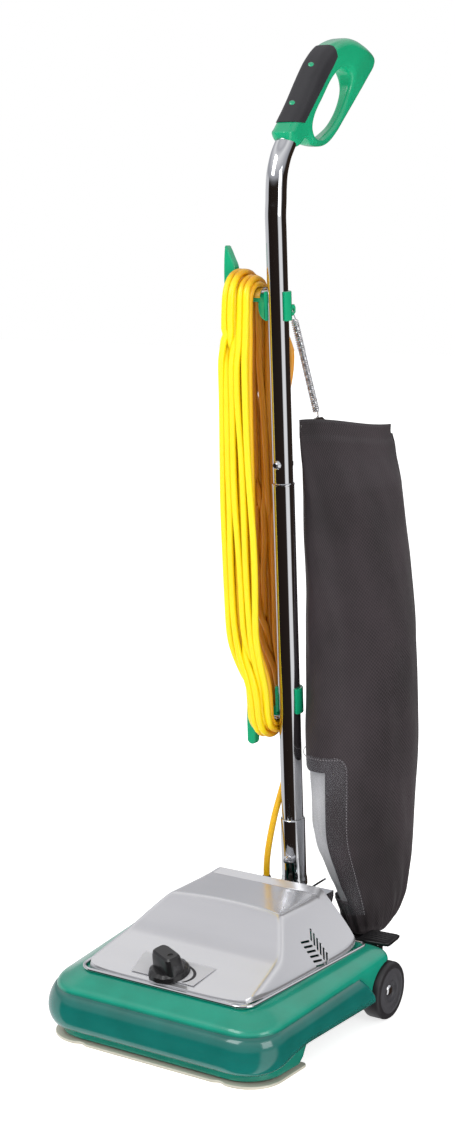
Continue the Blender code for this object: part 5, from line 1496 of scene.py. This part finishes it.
# ---- cord ----------------------------------------------------------------------------
@dataclass
class Cord:
    """Supply cord: up the tube, wound on both hooks and ending at its plug.

    Attributes:
        route: Free run from the strain relief to the first loop.
        length: Real length, 40 feet; not used.
        turns: Loops over the hooks.
        spacing: Distance between the points of its centreline.
    """
    route: tuple[Point, ...] = (
        (-0.0235, 0.0262, 0.1393), (-0.0235, 0.0264, 0.1560), (-0.0225, 0.0300, 0.1800),
        (-0.0205, 0.0400, 0.2150), (-0.0170, 0.0530, 0.2500), (-0.0120, 0.0640, 0.2900),
        (-0.0085, 0.0680, 0.3400), (-0.0085, 0.0670, 0.3900), (-0.0095, 0.0600, 0.4500),
        (-0.0120, 0.0530, 0.5200), (-0.0150, 0.0460, 0.6000), (-0.0160, 0.0400, 0.6700),
        (-0.0080, 0.0360, 0.7300), (0.0040, 0.0320, 0.7800), (0.0050, 0.0310, 0.8100),
        (-0.0040, 0.0340, 0.8300), (-0.0170, 0.0380, 0.8360), (-0.0205, 0.0385, 0.8420))
    length: float = 12.19
    turns: int = 10
    spacing: float = 0.008
    crown_groups: tuple[tuple[int, ...], ...] = ((0, 1), (2, 3), (4, 5, 6), (7, 8, 9))
    heel_groups: tuple[tuple[int, ...], ...] = ((0, 1), (2, 3, 4), (5, 6, 7), (8, 9))

    @staticmethod
    def column(groups: Sequence[Sequence[int]], turn: int, right: float, left: float) -> tuple[float, int]:
        """X and layer of a turn where the loops are bunched in columns."""
        for index, group in enumerate(groups):
            if turn in group:
                return right + (left - right) * index / (len(groups) - 1), group.index(turn)
        raise ValueError(f"turn {turn} has no column")

    def slot_at(self, turn: int, z: float, phase: float) -> Flat:
        """X and reach from the hook's axis of one turn at a height.

        Args:
            turn: Number of the loop, from the tube outwards.
            z: Height.
            phase: Shift of its own waves.

        Returns:
            The x and the reach.
        """
        crown_x, crown_layer = self.column(self.crown_groups, turn, -0.0300, -0.0546)
        heel_x, heel_layer = self.column(self.heel_groups, turn, -0.0182, -0.0420)
        mid_x, mid_layer = -0.0681 + 0.00855 * (4 - turn // 2), turn % 2
        up = smooth_step(z, 0.790, 0.852)
        down = smooth_step(-z, -0.450, -0.372)
        layer = mid_layer * (1 - up - down) + crown_layer * up + heel_layer * down
        x = mid_x * (1 - up - down) + crown_x * up + heel_x * down
        free = 1 - up - down
        x += free * (0.0038 * math.sin(8 * z + 2.1 * phase) + 0.0016 * math.sin(23 * z + phase))
        return x, SADDLE_RADIUS + 0.0004 + CORD_RADIUS * (1 + 2.02 * layer) + free * 0.0016

    def winding(self) -> list[Vector]:
        """Rough centreline of the loops and the tail."""
        points = []
        for turn in range(self.turns):
            for k in range(25):
                angle = math.pi * k / 24
                x, reach = self.slot_at(turn, UPPER_SADDLE_Z, turn)
                points.append(Vector((x, tube_y(UPPER_SADDLE_Z) + reach * math.cos(angle),
                                      UPPER_SADDLE_Z + reach * math.sin(angle))))
            for k in range(1, 60):
                z = UPPER_SADDLE_Z + (LOWER_SADDLE_Z - UPPER_SADDLE_Z) * k / 60
                x, reach = self.slot_at(turn, z, 1.7 * turn)
                points.append(Vector((x, tube_y(z) - reach, z)))
            for k in range(25):
                angle = math.pi + math.pi * k / 24
                x, reach = self.slot_at(turn, LOWER_SADDLE_Z, turn)
                points.append(Vector((x, tube_y(LOWER_SADDLE_Z) + reach * math.cos(angle),
                                      LOWER_SADDLE_Z + reach * math.sin(angle))))
            if turn == self.turns - 1:
                break
            for k in range(1, 60):
                share = k / 60
                z = LOWER_SADDLE_Z + (UPPER_SADDLE_Z - LOWER_SADDLE_Z) * share
                mix = smooth_step(share, 0.1, 0.9)
                here, there = self.slot_at(turn, z, 2.3 * turn + 2), self.slot_at(turn + 1, z, 2.3 * turn + 2)
                x, reach = (a + (b - a) * mix for a, b in zip(here, there))
                points.append(Vector((x, tube_y(z) + reach, z)))
        tail = [(-0.0480, 0.0240, 0.4000), (-0.0510, 0.0330, 0.4600), (-0.0510, 0.0340, 0.5200),
                (-0.0510, 0.0344, 0.5520), (-0.0510, 0.0358, 0.5840), (-0.0510, 0.0370, 0.6160)]
        points += [Vector((x, tube_y(z) + out, z)) for x, out, z in tail]
        return points

    def centreline(self) -> list[Vector]:
        """Whole centreline, with its strands pushed apart until they only touch."""
        start = smooth_path(self.route, self.spacing)
        loops = evenly_spaced([start[-1]] + self.winding(), self.spacing)[1:]
        points = start + loops
        first, last = len(start) - 6, len(points) - 22
        home = [p.copy() for p in points]
        for _ in range(70):
            tree = kdtree.KDTree(len(points))
            for index, point in enumerate(points):
                tree.insert(point, index)
            tree.balance()
            shift = [Vector() for _ in points]
            for index in range(first, last):
                for other, near, distance in tree.find_range(points[index], CORD_RADIUS * 2.03):
                    if abs(near - index) > 4:
                        away = points[index] - other
                        push = away.normalized() if distance > 1e-6 else Vector((1, 0, 0))
                        shift[index] += push * (CORD_RADIUS * 2.03 - distance) * 0.45
            for index in range(first, last):
                middle = (points[index - 1] + points[index + 1]) / 2
                shift[index] += (middle - points[index]) * 0.18 + (home[index] - points[index]) * 0.02
            for index in range(first, last):
                points[index] = self.outside(points[index] + shift[index])
        return points

    @staticmethod
    def outside(point: Vector) -> Vector:
        """Keep a point off the saddles, the pegs and the tubes."""
        for z, far in ((UPPER_SADDLE_Z, -0.0592), (LOWER_SADDLE_Z, -0.0472)):
            beyond = point.z > z if z == UPPER_SADDLE_Z else point.z < z
            offset = Vector((point.y - tube_y(z), point.z - z if beyond else 0.0))
            least = SADDLE_RADIUS + 0.0003 + CORD_RADIUS
            if abs(point.z - z) < 0.030 and offset.length < least:
                offset = offset.normalized() * least if offset.length > 1e-6 else Vector((least, 0))
                point.y = tube_y(z) + offset.x
                if beyond:
                    point.z = z + offset.y
            near_peg = abs(point.y - tube_y(z)) < 0.0300 and abs(point.z - z) < 0.045
            if near_peg and point.x < far + CORD_RADIUS:
                point.x = far + CORD_RADIUS
        radius = LOWER_TUBE_RADIUS + CORD_RADIUS
        side = Vector((point.x, point.y - tube_y(point.z)))
        if side.length < radius:
            side = side.normalized() * radius
            point.x, point.y = side.x, tube_y(point.z) + side.y
        return point

    def build(self, bench: Bench, look: Palette) -> None:
        plug = bench.refine("power_plug", look.cord, "yellow_cord", 0.0012)
        points = self.centreline()
        shape = tube_shape(points, CORD_RADIUS, 4)
        # painted shade: strands behind the tube's axis and inner strands close to the tube get a deeper
        # orange; the run below 0.30 m gets a flat 0.28 of it
        depth = shape.verts.layers.float.new("depth")
        for vert in shape.verts:
            behind = smooth_step(vert.co.y - tube_y(vert.co.z), -0.006, 0.010)
            reach = abs(vert.co.y - tube_y(vert.co.z))
            under = 0.36 * (1 - smooth_step(reach, 0.0170, 0.0255))
            vert[depth] = max(0.74 * behind, under) if vert.co.z > 0.30 else 0.28
        made = bench.bend("cord_jacket", shape, [look.cord], (0.150, 0.300), "yellow_cord",
                          ["supply_cord", "cord_hank", "cord_tail"])
        path = [p + Vector((0, bench.shift, 0)) for p in points]
        tuple(path[0])
        [tuple(p) for p in path]
        LOG.info("cord centreline %.3f m", sum((b - a).length for a, b in zip(path, path[1:])))


class Inside:
    """Parts seen only from below, from behind or through the openings."""
    PARTS: tuple[tuple[str, str, str, float], ...] = (
        ("nozzle_chamber", "black", "black_plastic", 0.0004),
        ("base_frame", "black", "black_plastic", 0.0005),
        ("brush_roll", "bristle", "black_plastic", 0.0),
        ("brush_end_cap_left", "black", "black_plastic", 0.0004),
        ("brush_end_cap_right", "black", "black_plastic", 0.0004),
        ("fan_housing", "black", "black_plastic", 0.0005),
        ("exhaust_elbow", "black", "black_plastic", 0.0005),
        ("roller_carriage", "black", "black_plastic", 0.0005),
        ("front_roller_left", "hub", "black_plastic", 0.0006),
        ("front_roller_right", "hub", "black_plastic", 0.0006),
        ("switch_box", "black", "black_plastic", 0.0005),
        ("terminal_box", "black", "black_plastic", 0.0005),
        ("drive_belt", "tyre", "black_rubber", 0.0),
        ("cord_strain_relief", "tyre", "black_rubber", 0.0004),
        ("motor_case", "steel", "bright_steel", 0.0005),
        ("motor_shaft", "steel", "bright_steel", 0.0003),
        ("bag_collar", "steel", "bright_steel", 0.0004),
        ("carriage_pin", "steel", "bright_steel", 0.0002),
        ("roller_pin_left", "steel", "bright_steel", 0.0002),
        ("roller_pin_right", "steel", "bright_steel", 0.0002),
        ("pedal_spring", "steel", "bright_steel", 0.0),
        ("pivot_pin_left", "steel", "bright_steel", 0.0004),
        ("pivot_pin_right", "steel", "bright_steel", 0.0004),
        ("motor_fan", "plate", "grey_plate", 0.0002),
        ("motor_stator", "copper", "copper_winding", 0.0004),
        ("motor_armature", "copper", "copper_winding", 0.0004),
    )

    def build(self, bench: Bench, look: Palette) -> None:
        """Finish each part."""
        for node, finish, slot, bevel in self.PARTS:
            bench.refine(node, getattr(look, finish), slot, bevel)


# ---- surroundings --------------------------------------------------------------------
class Pale(Enum):
    """Light levels of the surroundings."""
    SEEN = 1.0
    FILL = 0.62
    GLOSS = 1.0


@dataclass
class Studio:
    """Camera, lights and surroundings: a white product table with dark screens to each side."""
    azimuth: float = 31.70
    distance: float = 2.3339
    height: float = 0.9416
    yaw: float = 1.36
    pitch: float = 9.54
    lens: float = 61.89

    def camera(self, shift: float) -> None:
        """Place the camera."""
        azimuth = math.radians(self.azimuth)
        bearing, tilt = azimuth + math.radians(self.yaw), math.radians(self.pitch)
        data = bpy.data.cameras.new("view")
        data.lens, data.sensor_width, data.sensor_fit = self.lens, 36.0, "AUTO"
        made = bpy.data.objects.new("view", data)
        made.location = (math.sin(azimuth) * self.distance, shift - math.cos(azimuth) * self.distance,
                         self.height)
        ahead = Vector((-math.sin(bearing) * math.cos(tilt), math.cos(bearing) * math.cos(tilt),
                        -math.sin(tilt)))
        made.rotation_euler = ahead.to_track_quat("-Z", "Y").to_euler()
        bpy.context.scene.collection.objects.link(made)
        bpy.context.scene.camera = made

    def world(self) -> None:
        """White behind, pale for soft light, and banded screens for reflections."""
        world = bpy.data.worlds.new("white_table")
        bpy.context.scene.world = world
        world.use_nodes = True
        tree = world.node_tree
        tree.nodes.clear()
        direction = add_node(tree, "ShaderNodeTexCoord").outputs["Object"]
        axes = add_node(tree, "ShaderNodeSeparateXYZ", links={0: direction})
        bearing = add_node(tree, "ShaderNodeMath", {"operation": "ARCTAN2"},
                           {0: axes.outputs["Y"], 1: axes.outputs["X"]})
        share = add_node(tree, "ShaderNodeMapRange", {"From Min": -math.pi, "From Max": math.pi},
                         {"Value": bearing.outputs[0]})
        ramp = add_node(tree, "ShaderNodeValToRGB", links={"Fac": share.outputs["Result"]})
        bands = set_ramp(ramp, ((0.0, "#E4E4E6"), (0.078, "#E4E4E6"), (0.095, "#241D1A"), (0.395, "#2E2622"),
                                (0.419, "#FFFFFF"), (0.506, "#FFFFFF"), (0.530, "#2C2623"),
                                (0.822, "#3A2C22"),
                                (0.850, "#E4E4E6"), (1.0, "#E4E4E6")))
        level = add_node(tree, "ShaderNodeMapRange", {"From Min": 0.14, "From Max": 0.24},
                         {"Value": axes.outputs["Z"]})
        dome = add_node(tree, "ShaderNodeValToRGB", links={"Fac": axes.outputs["Z"]})
        above = set_ramp(dome, ((0.14, "#A6A7AB"), (0.36, "#BDBEC3"), (0.50, "#DADADD"), (0.69, "#FFFFFF"),
                                (0.84, "#C9C9CD"), (1.0, "#EFEFF1")))
        gloss = add_node(tree, "ShaderNodeMix", {"data_type": "RGBA"},
                         {0: level.outputs["Result"], 6: bands, 7: above})
        path = add_node(tree, "ShaderNodeLightPath")
        soft = add_node(tree, "ShaderNodeBackground",
                        {"Color": linear("#FFFFFF"), "Strength": Pale.FILL.value})
        shiny = add_node(tree, "ShaderNodeBackground", {"Strength": Pale.GLOSS.value},
                         {"Color": gloss.outputs[2]})
        seen = add_node(tree, "ShaderNodeBackground",
                        {"Color": linear("#FFFFFF"), "Strength": Pale.SEEN.value})
        first = add_node(tree, "ShaderNodeMixShader", {}, {0: path.outputs["Is Glossy Ray"],
                                                           1: soft.outputs[0], 2: shiny.outputs[0]})
        last = add_node(tree, "ShaderNodeMixShader", {}, {0: path.outputs["Is Camera Ray"],
                                                          1: first.outputs[0], 2: seen.outputs[0]})
        add_node(tree, "ShaderNodeOutputWorld", {}, {"Surface": last.outputs[0]})

    @staticmethod
    def lamp(name: str, place: Point, target: Point, size: float, power: float) -> None:
        """Add a soft square light that looks at a point."""
        data = bpy.data.lights.new(name, "AREA")
        data.size, data.energy = size, power
        made = bpy.data.objects.new(name, data)
        made.location = place
        made.rotation_euler = (Vector(target) - Vector(place)).to_track_quat("-Z", "Y").to_euler()
        bpy.context.scene.collection.objects.link(made)

    @staticmethod
    def floor() -> None:
        """White table top that takes a faint shadow."""
        material, tree, shader = start_material("white_table_top", {"Base Color": linear("#FFFFFF"),
                                                                    "Roughness": 1.0,
                                                                    "Specular IOR Level": 0.0,
                                                                    "Emission Color": linear("#FFFFFF"),
                                                                    "Emission Strength": 0.72})
        place = add_node(tree, "ShaderNodeTexCoord").outputs["Object"]
        dust = add_node(tree, "ShaderNodeTexNoise", {"Scale": 3.0, "Detail": 2.0}, {"Vector": place})
        ramp = add_node(tree, "ShaderNodeValToRGB", links={"Fac": dust.outputs["Fac"]})
        tree.links.new(set_ramp(ramp, ((0.0, "#FDFDFD"), (1.0, "#FFFFFF"))), shader.inputs["Base Color"])
        mesh = bpy.data.meshes.new("table_top")
        shape = bmesh.new()
        bmesh.ops.create_grid(shape, x_segments=2, y_segments=2, size=12.0)
        shape.to_mesh(mesh)
        shape.free()
        mesh.materials.append(material)
        made = bpy.data.objects.new("table_top", mesh)
        made.location.z = -0.0008
        made.visible_glossy = False
        bpy.context.scene.collection.objects.link(made)

    def build(self, shift: float) -> None:
        """Set the whole studio up."""
        bpy.context.scene.view_settings.view_transform = "Standard"
        self.camera(shift)
        self.world()
        self.lamp("key", (-0.6, -2.4, 2.6), (0, 0, 0.35), 1.6, 34.0)
        self.lamp("side", (2.6, -0.9, 1.5), (0, 0, 0.4), 1.2, 14.0)
        self.floor()


def main() -> None:
    """Load the frame and build every piece on it."""
    logging.basicConfig(level=logging.INFO, format="%(message)s")
    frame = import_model()
    bench, look = Bench(frame), Palette()
    for part in (Base(), RunningGear(), Handle(), Grip(), Bag(), Cord(), Inside()):
        LOG.info("building %s", type(part).__name__)
        part.build(bench, look)
    Studio().build(bench.shift)


if __name__ == "__main__":
    main()
